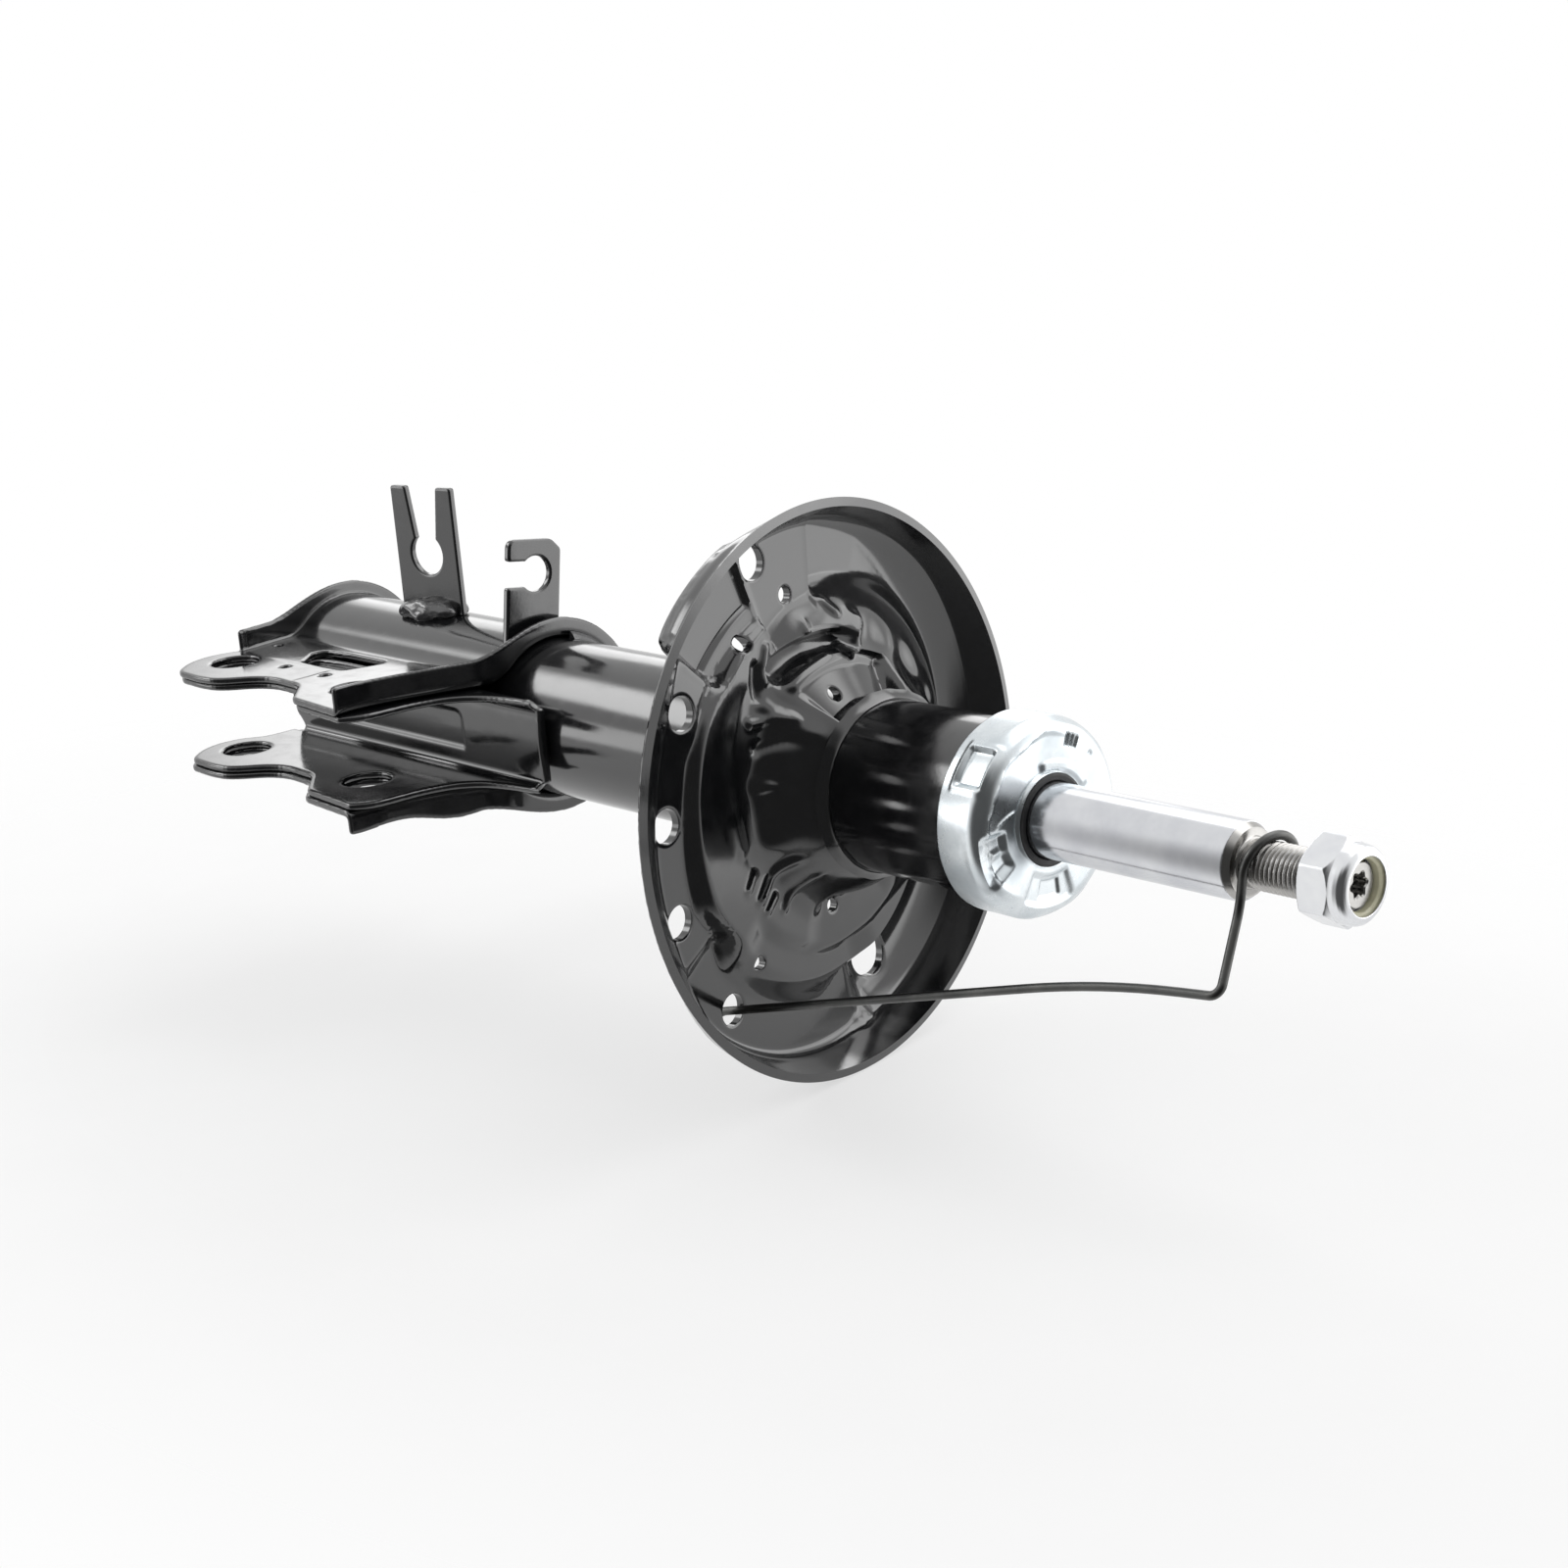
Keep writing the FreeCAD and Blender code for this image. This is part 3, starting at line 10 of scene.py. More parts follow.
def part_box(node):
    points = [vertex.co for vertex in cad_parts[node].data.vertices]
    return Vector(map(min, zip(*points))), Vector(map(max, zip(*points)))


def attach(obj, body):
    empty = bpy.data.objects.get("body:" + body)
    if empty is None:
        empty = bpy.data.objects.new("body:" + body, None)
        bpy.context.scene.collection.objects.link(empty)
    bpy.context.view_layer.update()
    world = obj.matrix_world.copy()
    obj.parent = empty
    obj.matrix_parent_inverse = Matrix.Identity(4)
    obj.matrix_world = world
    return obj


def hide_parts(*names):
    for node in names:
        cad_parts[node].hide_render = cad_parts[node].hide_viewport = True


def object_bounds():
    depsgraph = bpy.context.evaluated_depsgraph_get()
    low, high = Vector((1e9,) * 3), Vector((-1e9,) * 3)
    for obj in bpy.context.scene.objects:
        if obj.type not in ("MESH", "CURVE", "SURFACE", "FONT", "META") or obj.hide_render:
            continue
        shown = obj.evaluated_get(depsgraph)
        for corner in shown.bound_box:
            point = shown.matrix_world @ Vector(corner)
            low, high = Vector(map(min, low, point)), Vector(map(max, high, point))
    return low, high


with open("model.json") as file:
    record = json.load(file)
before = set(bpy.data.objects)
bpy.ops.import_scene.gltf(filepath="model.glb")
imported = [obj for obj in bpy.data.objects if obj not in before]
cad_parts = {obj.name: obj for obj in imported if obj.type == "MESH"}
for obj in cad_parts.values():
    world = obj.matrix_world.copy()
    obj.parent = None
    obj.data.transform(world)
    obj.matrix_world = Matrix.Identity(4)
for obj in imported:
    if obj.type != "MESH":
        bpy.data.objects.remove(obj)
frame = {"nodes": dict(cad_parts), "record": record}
cad_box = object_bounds()

# Lengths are metres in the frame of the part: +X to the nut, -Y to the ears.
MM = 0.001

# The photograph's view
CAMERA_AT = (0.8751, -0.57533, 0.24322)
CAMERA_AZIMUTH = 48.143
CAMERA_ELEVATION = 16.190
CAMERA_ROLL = -4.811
CAMERA_LENS = 66.444
SENSOR = 36.0

# Share of the floor's look that is plain white; the rest takes light and shadow
FLOOR_GLOW = 0.62

# How far the floor lies below the part
FLOOR_DROP = 0.0005

# Heading in which the floor is left out of reflections
FLOOR_DIM_SIDE = (0.45, -0.89, 0.0)

# Strength of the plain light from all round
WORLD_LIGHT = 0.45

# Half length and half width of the floor's solid part
FLOOR_HALF = (0.32, 0.19)

# Heading of the dim side of the studio, where nothing white stands
DIM_SIDE = (0.62, -0.76, -0.08)

# Point of the part at which the lamps aim
LAMP_AIM = Vector((0.2, 0.0, 0.0))

LAMPS = (
    # name, heading, distance, width, height, brightness and share in the plain light
    ("top_softbox", (0.15, 0.65, 1.0), 1.1, 1.5, 1.0, 2.0, 0.9),
    ("far_softbox", (-0.715, 0.66, 0.34), 1.5, 1.2, 0.55, 2.0, 0.6),
    ("strip_softbox", (-0.715, -0.395, 0.578), 1.5, 1.2, 0.55, 3.8, 0.15),
    ("left_softbox", (-0.715, -0.72, 0.08), 1.6, 1.1, 0.6, 1.8, 0.3),
    ("right_softbox", (0.6, 0.8, 0.42), 1.4, 1.2, 0.6, 1.6, 0.5),
    ("low_softbox", (0.52, 0.83, -0.04), 1.4, 1.9, 1.2, 1.25, 0.12),
)


def add_object(name, data):
    """A new object, linked to the scene."""
    made = bpy.data.objects.new(name, data)
    bpy.context.scene.collection.objects.link(made)
    return made


def place_camera():
    """Stands the camera where the photograph was taken from."""
    azimuth, elevation, roll = (math.radians(angle) for angle in
                                (CAMERA_AZIMUTH, CAMERA_ELEVATION, CAMERA_ROLL))
    back = Vector((math.sin(azimuth) * math.cos(elevation),
                   -math.cos(azimuth) * math.cos(elevation), math.sin(elevation)))
    level = Vector((math.cos(azimuth), math.sin(azimuth), 0))
    upright = back.cross(level)
    turn = Matrix((level, upright, back)).transposed().to_4x4() @ Matrix.Rotation(roll, 4, "Z")
    data = bpy.data.cameras.new("photo_camera")
    data.sensor_width = SENSOR
    data.lens = CAMERA_LENS
    data.clip_start = 0.02
    camera = add_object("photo_camera", data)
    turn.translation = Vector(CAMERA_AT)
    camera.matrix_world = turn
    bpy.context.scene.camera = camera


class Nodes:
    """Short ways to add nodes to one node tree."""

    def __init__(self, tree):
        self.tree = tree

    def add(self, kind, settings=None, **inputs):
        """A node of that kind; an input is a value or another node's output."""
        node = self.tree.nodes.new("ShaderNode" + kind)
        for key, value in (settings or {}).items():
            setattr(node, key, value)
        for key, value in inputs.items():
            numbered = key[0] == "i" and key[1:].isdigit()
            self.feed(node.inputs[int(key[1:]) if numbered else key.replace("_", " ")], value)
        return node

    def feed(self, socket, value):
        """Gives a socket its value, or links another node's output to it."""
        if isinstance(value, bpy.types.NodeSocket):
            self.tree.links.new(value, socket)
        else:
            socket.default_value = value

    def math(self, operation, first, second=0.0, third=0.0):
        return self.add("Math", {"operation": operation}, i0=first, i1=second,
                        i2=third).outputs[0]

    def vector(self, operation, first, second=(0, 0, 0), result="Vector"):
        return self.add("VectorMath", {"operation": operation}, i0=first,
                        i1=second).outputs[result]

    def band(self, value, low, high, start=0.0, stop=1.0, curve="LINEAR"):
        """Maps value from low..high to start..stop, clamped."""
        return self.add("MapRange", {"interpolation_type": curve}, i0=value, i1=low, i2=high,
                        i3=start, i4=stop).outputs[0]

    def mix_shaders(self, share, first, second):
        return self.add("MixShader", Fac=share, i1=first.outputs[0], i2=second.outputs[0])


class Look(Nodes):
    """One procedural material, built node by node."""

    def __init__(self, name, **values):
        self.material = bpy.data.materials.new(name)
        self.material.use_nodes = True
        super().__init__(self.material.node_tree)
        self.shader = self.tree.nodes["Principled BSDF"]
        for socket, value in values.items():
            self.shader.inputs[socket].default_value = value

    def finish(self, tone, roughness, normal):
        for socket, value in (("Base Color", tone), ("Roughness", roughness), ("Normal", normal)):
            self.feed(self.shader.inputs[socket], value)
        return self.material

    def noise(self, scale, detail=2.0, rough=0.5, stretch=(1, 1, 1)):
        """Noise over the object's coordinates, which are scaled along each axis."""
        coordinates = self.add("TexCoord").outputs["Object"]
        place = self.add("Mapping", Vector=coordinates, Scale=stretch).outputs[0]
        return self.add("TexNoise", Vector=place, Scale=scale, Detail=detail,
                        Roughness=rough).outputs["Fac"]

    def mix(self, share, first, second):
        return self.add("Mix", {"data_type": "RGBA"}, i0=share, i6=first, i7=second).outputs[2]

    def bump(self, height, strength, distance, **normal):
        return self.add("Bump", Height=height, Strength=strength, Distance=distance,
                        **normal).outputs[0]

    def soft_edges(self, radius):
        """Rounds the pressed edges of a sheet in the shading."""
        return self.add("Bevel", {"samples": 4}, Radius=radius).outputs[0]


def black_paint():
    """Gloss black dip coat over pressed steel, with dust, soft waves and a fine peel."""
    look = Look("black_dip_coat", Roughness=0.2, IOR=1.85)
    dust = look.band(look.noise(160.0, 6.0, 0.62), 0.46, 0.74)
    cloud = look.band(look.noise(22.0, 3.0), 0.35, 0.7)
    tone = look.mix(look.math("MULTIPLY", dust, 0.5), (0.0065, 0.0068, 0.0075, 1),
                    (0.014, 0.0142, 0.015, 1))
    gloss = look.math("MULTIPLY_ADD", dust, 0.07, 0.10)
    gloss = look.math("MULTIPLY_ADD", cloud, 0.03, gloss)
    waves = look.bump(look.noise(38.0, 2.0, 0.4), 0.25, 0.0005)
    peel = look.bump(look.noise(900.0), 0.12, 0.00005, Normal=waves)
    return look.finish(tone, gloss, peel)


def painted_weld():
    """Dip coat that has run over a rough weld bead; its grey tones are lighter than the black paint
    as a painted sheen.
    """
    look = Look("painted_weld", Roughness=0.28, IOR=1.85)
    grain = look.noise(420.0, 5.0, 0.6)
    spatter = look.band(look.noise(1300.0, 3.0), 0.55, 0.75)
    # painted sheen: both tones are lighter than the black paint and stand in for the bead's
    # highlights; the lighter specks are spatter
    tone = look.mix(spatter, (0.045, 0.045, 0.047, 1), (0.10, 0.10, 0.104, 1))
    return look.finish(tone, look.math("MULTIPLY_ADD", grain, 0.15, 0.12),
                       look.bump(grain, 0.35, 0.0002))


def metal(name, tone, second, rough, streak, stretch=(1, 1, 1), bump=0.05, edge_radius=0.0004,
          cloudy=0.0):
    """Bare or plated metal: two tones in clouds, streaked roughness, fine grain."""
    look = Look(name, Metallic=1.0, Roughness=rough)
    cloud = look.band(look.noise(60.0, 4.0, 0.6), 0.35, 0.68)
    scratch = look.noise(900.0, 3.0, 0.55, stretch)
    worn = look.math("MULTIPLY_ADD", cloud, cloudy, rough)
    return look.finish(look.mix(cloud, (*tone, 1), (*second, 1)),
                       look.math("MULTIPLY_ADD", scratch, streak, worn),
                       look.bump(scratch, bump, 0.00005, Normal=look.soft_edges(edge_radius)))


def dull(name, tone, second, rough):
    """Rubber and polymer: two tones in a fine grain."""
    look = Look(name, Roughness=rough)
    speck = look.band(look.noise(500.0, 4.0, 0.6), 0.35, 0.7)
    return look.finish(look.mix(speck, (*tone, 1), (*second, 1)),
                       look.math("MULTIPLY_ADD", speck, 0.15, rough - 0.07),
                       look.bump(speck, 0.2, 0.0001, Normal=look.soft_edges(0.0003)))


METALS = (
    # slot, two tones, roughness, depth of the streaks, and what is its own
    ("zinc_plate", (0.76, 0.80, 0.82), (0.56, 0.61, 0.64), 0.17, 0.08, {"cloudy": 0.14}),
    ("rod_chrome", (0.68, 0.69, 0.71), (0.58, 0.59, 0.62), 0.10, 0.12,
     {"stretch": (0.4, 30, 30), "bump": 0.02}),
    ("nut_zinc", (0.78, 0.79, 0.80), (0.68, 0.69, 0.72), 0.12, 0.14, {}),
    ("wire_steel", (0.075, 0.076, 0.075), (0.12, 0.12, 0.115), 0.26, 0.2, {}),
    ("bare_steel", (0.44, 0.43, 0.415), (0.35, 0.345, 0.335), 0.2, 0.06,
     {"bump": 0.01, "edge_radius": 0.0001}),
    ("sintered_iron", (0.30, 0.29, 0.28), (0.2, 0.195, 0.19), 0.45, 0.2, {"bump": 0.3}),
    ("bush_bronze", (0.60, 0.44, 0.24), (0.5, 0.36, 0.2), 0.25, 0.2, {}),
)
DULLS = (
    ("black_rubber", (0.016, 0.016, 0.017), (0.028, 0.028, 0.03), 0.55),
    ("bumper_polymer", (0.04, 0.04, 0.042), (0.06, 0.06, 0.06), 0.5),
    ("slide_polymer", (0.22, 0.24, 0.22), (0.3, 0.32, 0.3), 0.45),
    ("ivory_nylon", (0.72, 0.70, 0.52), (0.62, 0.60, 0.43), 0.35),
)


def make_materials():
    """One material for each slot of the record."""
    made = {"black_paint": black_paint(), "painted_weld": painted_weld()}
    for name, *values, own in METALS:
        made[name] = metal(name, *values, **own)
    for name, *values in DULLS:
        made[name] = dull(name, *values)
    return made


def paint_nodes():
    """Gives every carried-over piece the material of its slot."""
    for part in frame["record"]["subparts"]:
        node = frame["nodes"][part["node"]]
        node.data.materials.clear()
        node.data.materials.append(looks[part["material_slot"]])


def make_floor():
    """A pale floor under the part. It keeps the shadow and fades into the white surround, and
    on the dim side the part doesn't reflect it."""
    height = cad_box[0][2] - FLOOR_DROP
    middle = (cad_box[0] + cad_box[1]) / 2
    mesh = bpy.data.meshes.new("studio_floor")
    corners = [(middle.x + 2 * FLOOR_HALF[0] * math.cos(turn),
                middle.y + 2 * FLOOR_HALF[1] * math.sin(turn), height) for turn in circle(64)]
    mesh.from_pydata(corners, [], [tuple(range(64))])
    floor = add_object("studio_floor", mesh)
    look = Look("studio_floor", Roughness=0.9)
    speck = look.band(look.noise(30.0), 0.3, 0.7)
    look.feed(look.shader.inputs["Base Color"],
              look.mix(speck, (0.92, 0.92, 0.92, 1), (0.94, 0.94, 0.94, 1)))
    glow = look.add("Emission", Color=(1, 1, 1, 1), Strength=1.0)
    path = look.add("LightPath").outputs
    seen = path["Is Camera Ray"]
    for name in ("Is Glossy Ray", "Is Transmission Ray"):
        seen = look.math("MAXIMUM", seen, path[name])
    lit = look.mix_shaders(look.math("MULTIPLY", seen, FLOOR_GLOW), look.shader, glow)
    offset = look.vector("SUBTRACT", look.add("NewGeometry").outputs["Position"],
                         (middle.x, middle.y, height))
    scaled = look.vector("DIVIDE", offset, (*FLOOR_HALF, 1.0))
    far = look.band(look.vector("LENGTH", scaled, result="Value"), 1.0, 1.9)
    beside = look.vector("DOT_PRODUCT", offset, FLOOR_DIM_SIDE, "Value")
    dark = look.math("MULTIPLY", look.band(beside, 0.03, 0.11), path["Is Glossy Ray"])
    whole = look.mix_shaders(look.math("MAXIMUM", far, dark), lit, look.add("BsdfTransparent"))
    look.feed(look.tree.nodes["Material Output"].inputs["Surface"], whole.outputs[0])
    mesh.materials.append(look.material)


def make_world():
    """Soft grey light from all round. The camera sees plain white, and so does gloss but for
    the dim side of the studio."""
    world = bpy.data.worlds.new("studio")
    bpy.context.scene.world = world
    world.use_nodes = True
    studio = Nodes(world.node_tree)
    soft = studio.tree.nodes["Background"]
    soft.inputs["Color"].default_value = (1, 1, 1, 1)
    soft.inputs["Strength"].default_value = WORLD_LIGHT
    path = studio.add("LightPath").outputs
    mirrored = studio.math("MAXIMUM", path["Is Glossy Ray"], path["Is Transmission Ray"])
    heading = studio.add("TexCoord").outputs["Generated"]
    facing = studio.vector("DOT_PRODUCT", heading, Vector(DIM_SIDE).normalized(), "Value")
    dim = studio.band(facing, 0.30, 0.74, 0.0, 0.92, "SMOOTHSTEP")
    shade = studio.math("MULTIPLY", dim, mirrored)
    white = studio.add("Background", Color=(1, 1, 1, 1),
                       Strength=studio.math("SUBTRACT", 1.0, shade))
    seen = studio.math("MAXIMUM", mirrored, path["Is Camera Ray"])
    whole = studio.mix_shaders(seen, soft, white)
    studio.feed(studio.tree.nodes["World Output"].inputs["Surface"], whole.outputs[0])


def softbox(name, heading, reach, width, height, radiance, soft):
    """A rectangular lamp with faded edges; soft is its share of the plain light."""
    data = bpy.data.lights.new(name, "AREA")
    data.shape = "RECTANGLE"
    data.size = width
    data.size_y = height
    data.energy = radiance * math.pi * width * height
    data.diffuse_factor = soft
    data.use_nodes = True
    face = Nodes(data.node_tree)
    place = face.add("SeparateXYZ", i0=face.add("NewGeometry").outputs["Parametric"]).outputs
    fades = [face.band(face.math("ABSOLUTE", face.math("SUBTRACT", place[axis], 0.5)), 0.5, 0.28,
                       curve="SMOOTHSTEP") for axis in (0, 1)]
    face.feed(face.tree.nodes["Emission"].inputs["Strength"], face.math("MULTIPLY", *fades))
    lamp = add_object(name, data)
    away = Vector(heading).normalized() * reach
    lamp.location = LAMP_AIM + away
    lamp.rotation_euler = away.to_track_quat("Z", "Y").to_euler()
    lamp.visible_camera = False


def make_lamps():
    """Large soft boxes round the part; their reflections draw the gloss black shapes."""
    for lamp in LAMPS:
        softbox(*lamp)


# Spring seat, in millimetres of its own frame: clock angle 0 is up and 90 away from the
# ears, the radius is from the seat's centre, and depth counts away from the nut.
SEAT_CENTRE = Vector((261.0, -2.0, -4.5))
SEAT_TILT = 7.4
SEAT_TILT_HEADING = 18.9
SEAT_SHEET = 2.8
RIM_INSIDE = 86.0
RIM_OUTSIDE = 88.75
HUB_BORE = 26.06
# Where the tube's axis crosses the seat's own plane, and how it shifts with depth
TUBE_IN_SEAT = (4.50, 2.04)
TUBE_SHIFT = (0.042, 0.123)
# Dome that carries the seat: distance from the tube's axis and height over the seat's station
DOME = ((20.0, 20.5), (26.0, 17.0), (30.6, 11.8), (34.0, 6.6), (40.0, -0.6), (46.0, -5.2),
        (52.0, -9.6), (60.0, -18.0), (90.0, -60.0))
TRACK = (
    # clock angle and depth of the coil track: end stop, deep stretch, two steps, raised land
    (5.0, 9.0), (7.0, 12.4), (26.0, 13.0), (60.0, 16.8), (90.0, 19.6), (164.0, 21.0),
    (170.0, 16.5), (219.0, 12.2), (239.0, 11.0), (242.5, 8.6), (277.0, 5.6), (303.0, 5.5),
    (313.5, 6.4), (316.0, 9.0), (365.0, 9.0),
)
# Beads: from and to as clock angle and radius, half width and height
SEAT_CREASES = (
    ((341.6, 81.5), (341.0, 51.5), 1.1, 0.5),
    ((5.2, 82.0), (5.6, 57.0), 0.8, 0.45),
    ((313.2, 75.5), (313.6, 66.0), 1.0, 0.35),
    ((240.6, 62.6), (239.5, 76.5), 1.1, 0.45),
    ((168.0, 60.0), (167.0, 82.0), 1.0, 0.6),
)
DOME_RIBS = (
    ((287.0, 33.0), (288.0, 38.0), 2.4, 1.2),
    ((318.0, 34.0), (320.0, 44.0), 2.8, 1.6),
)
SEAT_FOLDS = (
    ((237.5, 44.0), (243.0, 31.0), 1.5, 1.5),
    ((231.0, 44.5), (231.0, 39.0), 1.3, 1.0),
    ((221.5, 39.5), (227.0, 29.5), 1.3, 1.4),
    ((246.0, 46.5), (249.0, 42.0), 1.3, 0.8),
    ((9.0, 43.5), (18.4, 52.5), 2.2, 3.0),
    ((8.5, 57.5), (11.5, 54.5), 1.5, 1.1),
    ((357.0, 53.0), (356.0, 51.0), 1.3, 0.9),
    ((311.0, 45.0), (322.0, 37.5), 1.5, 1.3),
    ((303.0, 40.0), (311.0, 35.5), 1.7, -1.2),
    ((337.0, 53.5), (328.0, 47.5), 1.6, 1.4),
    ((329.0, 52.5), (321.0, 46.5), 1.4, -1.2),
    ((286.0, 37.0), (288.0, 35.5), 1.3, 1.0),
    ((272.0, 45.0), (262.0, 44.0), 2.2, 0.6),
)
SEAT_HOLES = (
    # clock angle, radius from the centre, hole radius: in the land and beside it, in the rise,
    # in the low part, for the wire, the drain, and two small ones in the dome
    (346.0, 76.3, 5.2), (355.0, 62.0, 2.6), (331.0, 59.5, 2.3),
    (303.0, 72.4, 5.2), (277.0, 72.0, 5.2), (253.0, 72.0, 5.2),
    (221.0, 57.6, 2.3), (219.5, 72.8, 5.0), (156.0, 69.0, 7.6),
    (348.0, 33.2, 2.0), (182.0, 36.6, 2.2),
)


def seat_frame():
    """The seat's frame and centre: x is up, y clockwise seen from the nut, z toward the nut."""
    tilt, heading = math.radians(SEAT_TILT), math.radians(SEAT_TILT_HEADING)
    normal = Vector((math.cos(tilt), math.sin(tilt) * math.cos(heading),
                     math.sin(tilt) * math.sin(heading)))
    upward = (Vector((0, 0, 1)) - normal * normal.z).normalized()
    clockwise = upward.cross(normal)
    turn = Matrix((upward, clockwise, normal)).transposed()
    return np.array(turn), np.array(SEAT_CENTRE)


def ease(value, low, high):
    """0 below low, 1 above high, smooth between; low may be the larger one."""
    share = np.clip((value - low) / (high - low), 0.0, 1.0)
    return share * share * (3 - 2 * share)


def within(angle, low, high, soft):
    """1 inside a range of clock angles, which may run through 0, with soft ends."""
    middle, half = (low + high) / 2, (high - low) / 2
    away = np.abs((angle - middle + 180.0) % 360.0 - 180.0)
    return ease(away, half + soft / 2, half - soft / 2)


def track_depth(angle):
    """Depth of the coil track at a clock angle."""
    return np.interp(np.where(angle < TRACK[0][0], angle + 360.0, angle), *zip(*TRACK))


def soft_min(first, second, width):
    """The smaller of two values, with a rounded change from one to the other."""
    share = np.clip(0.5 + 0.5 * (second - first) / width, 0.0, 1.0)
    return second * (1 - share) + first * share - width * share * (1 - share)


def to_spot(x, y, spot):
    """Distance to one spot."""
    return np.hypot(x - spot[0], y - spot[1])


def to_stretch(x, y, start, stop):
    """Distance to the straight stretch between two points."""
    run = np.subtract(stop, start)
    along = ((x - start[0]) * run[0] + (y - start[1]) * run[1]) / run.dot(run)
    along = np.clip(along, 0.0, 1.0)
    return np.hypot(x - start[0] - along * run[0], y - start[1] - along * run[1])


def beads(x, y, rows):
    """Height of low rounded beads along straight lines."""
    total = 0.0
    for start, stop, half, height in rows:
        away = to_stretch(x, y, polar(*start), polar(*stop))
        total = total + height * np.exp(-(away / half) ** 2)
    return total


def polar(angle, radius):
    """A point of the seat's plan from its clock angle and radius."""
    turn = math.radians(angle)
    return radius * math.cos(turn), radius * math.sin(turn)


def circle(count):
    """Evenly spaced turns of a full circle."""
    return np.arange(count) * 2 * np.pi / count


def ring(centre, radius, turn):
    return np.stack([centre[0] + radius * np.cos(turn), centre[1] + radius * np.sin(turn)], 1)


def tube_centre(depth):
    """Where the tube's axis is at a depth of the seat."""
    return TUBE_IN_SEAT[0] + TUBE_SHIFT[0] * depth, TUBE_IN_SEAT[1] + TUBE_SHIFT[1] * depth


def dome_depth(x, y):
    """Depth of the plain dome and the distance from the tube's axis, which is tilted here."""
    turn = seat_frame()[0]
    depth = np.zeros_like(x)
    for _ in range(4):
        from_tube = to_spot(x, y, tube_centre(depth))
        height = sum(np.interp(from_tube + 1.1 * step, *zip(*DOME)) for step in range(-2, 3)) / 5
        depth = (turn[0, 0] * x + turn[0, 1] * y - height) / turn[0, 2]
    return depth, from_tube


def seat_depth(x, y):
    """Depth of the seat's front face over its own plane, with everything pressed into it."""
    radius = np.hypot(x, y)
    angle = np.degrees(np.arctan2(y, x)) % 360.0
    track = track_depth(angle)
    # wall: steep beside the deep track, a cone beside the high one
    lean = within(angle, 235.0, 308.0, 34.0)
    foot = 83.2 - 4.6 * lean
    heel = np.minimum(2.6, 0.28 * track)
    # centre panel, tilted, and its step down to the track
    panel = 7.5 + 4.5 * radius / 50.0 * np.sin(np.radians(angle))
    left = within(angle, 245.0, 312.0, 20.0)
    low = within(angle, 178.0, 236.0, 14.0)
    edge = 57.9 + 3.0 * left - 1.0 * low
    land = within(angle, 341.3, 365.0, 1.6)
    panel = panel * (1 - land) + TRACK[0][1] * land
    share = ease(radius, edge, edge + 3.6 + 6.5 * low + 1.5 * left)
    depth = panel + (track - panel) * share
    # recessed panel left of the land, and the shelf round the first hole
    recess = within(angle, 315.8, 340.6, 1.3) * ease(radius, 65.6, 67.2)
    depth = depth + 1.7 * recess
    shelf = within(angle, 291.0, 314.0, 2.0) * ease(radius, 64.2, 65.8)
    depth = depth - 0.9 * shelf * within(angle, 296.0, 314.0, 9.0)
    depth = depth - beads(x, y, SEAT_CREASES)
    # step down beyond the pad at the dome's foot
    depth = depth + 2.4 * within(angle, 166.0, 230.0, 14.0) * ease(radius, 45.5, 50.5) * (1 - share)
    # dome that carries the seat on the tube
    dome, from_tube = dome_depth(x, y)
    worked = ease(from_tube, 28.0, 33.0) * ease(radius, 62.0, 48.0)
    worked = worked * (1.0 - 0.8 * within(angle, 130.0, 222.0, 16.0))
    waves = (np.sin(x / 5.3 + 0.8 * np.sin(y / 7.1)) * np.sin(y / 4.6 + 0.9)
             + 0.6 * np.sin(x / 3.1 - y / 3.9 + 2.0))
    dome = dome - 0.55 * waves * worked - beads(x, y, DOME_RIBS)
    blend = 3.0 + 5.5 * within(angle, 250.0, 322.0, 24.0)
    depth = soft_min(depth, dome, blend)
    pad = within(angle, 143.0, 196.0, 14.0) * ease(from_tube, 34.5, 39.5) * ease(radius, 51.5, 48.5)
    depth = depth * (1 - pad) + 7.6 * pad
    # raised tab beside the tube, with a deep pocket behind it
    pocket = within(angle, 332.0, 373.0, 6.0) * ease(radius, 42.0, 44.6) * ease(radius, 50.2, 47.2)
    depth = depth + 5.0 * pocket
    tab = within(angle, 333.0, 388.0, 5.0) * ease(radius, 43.2, 41.6)
    plate = -9.5 + (from_tube - 27.0) / 1.3
    depth = depth * (1 - tab) + plate * tab
    brow = ease(radius, 39.0, 41.0) * ease(radius, 43.4, 41.6)
    # folds that the press left in the dome and beside the tab
    depth = depth - 1.1 * tab * brow - beads(x, y, SEAT_FOLDS)
    # outer wall
    deep = ease(track, 11.5, 16.0) * within(angle, 10.0, 168.0, 12.0)
    heel = heel + 3.6 * deep
    fillet = 3.0 + 8.5 * deep
    depth = depth - heel * np.clip((radius - foot + fillet) / fillet, 0.0, 1.0) ** 2
    rise = np.clip((radius - foot) / (RIM_INSIDE - foot), 0.0, 1.0)
    return np.where(radius > foot, (track - heel) * (1 - rise), depth)


def sheet_behind(reach):
    """Depth of the sheet's back face on a square grid: the front face offset by a ball."""
    pitch = 0.5
    count = int(reach / pitch)
    line = np.arange(-count, count + 1) * pitch
    x, y = np.meshgrid(line, line, indexing="ij")
    front = np.where(np.hypot(x, y) > RIM_INSIDE, -1e3, seat_depth(x, y))
    behind = np.full_like(front, -1e3)
    span = int(SEAT_SHEET / pitch)
    for across in range(-span, span + 1):
        for up in range(-span, span + 1):
            away = math.hypot(across, up) * pitch
            if away <= SEAT_SHEET:
                lift = math.sqrt(SEAT_SHEET ** 2 - away ** 2)
                behind = np.maximum(behind, np.roll(front, (across, up), (0, 1)) + lift)
    return line, behind


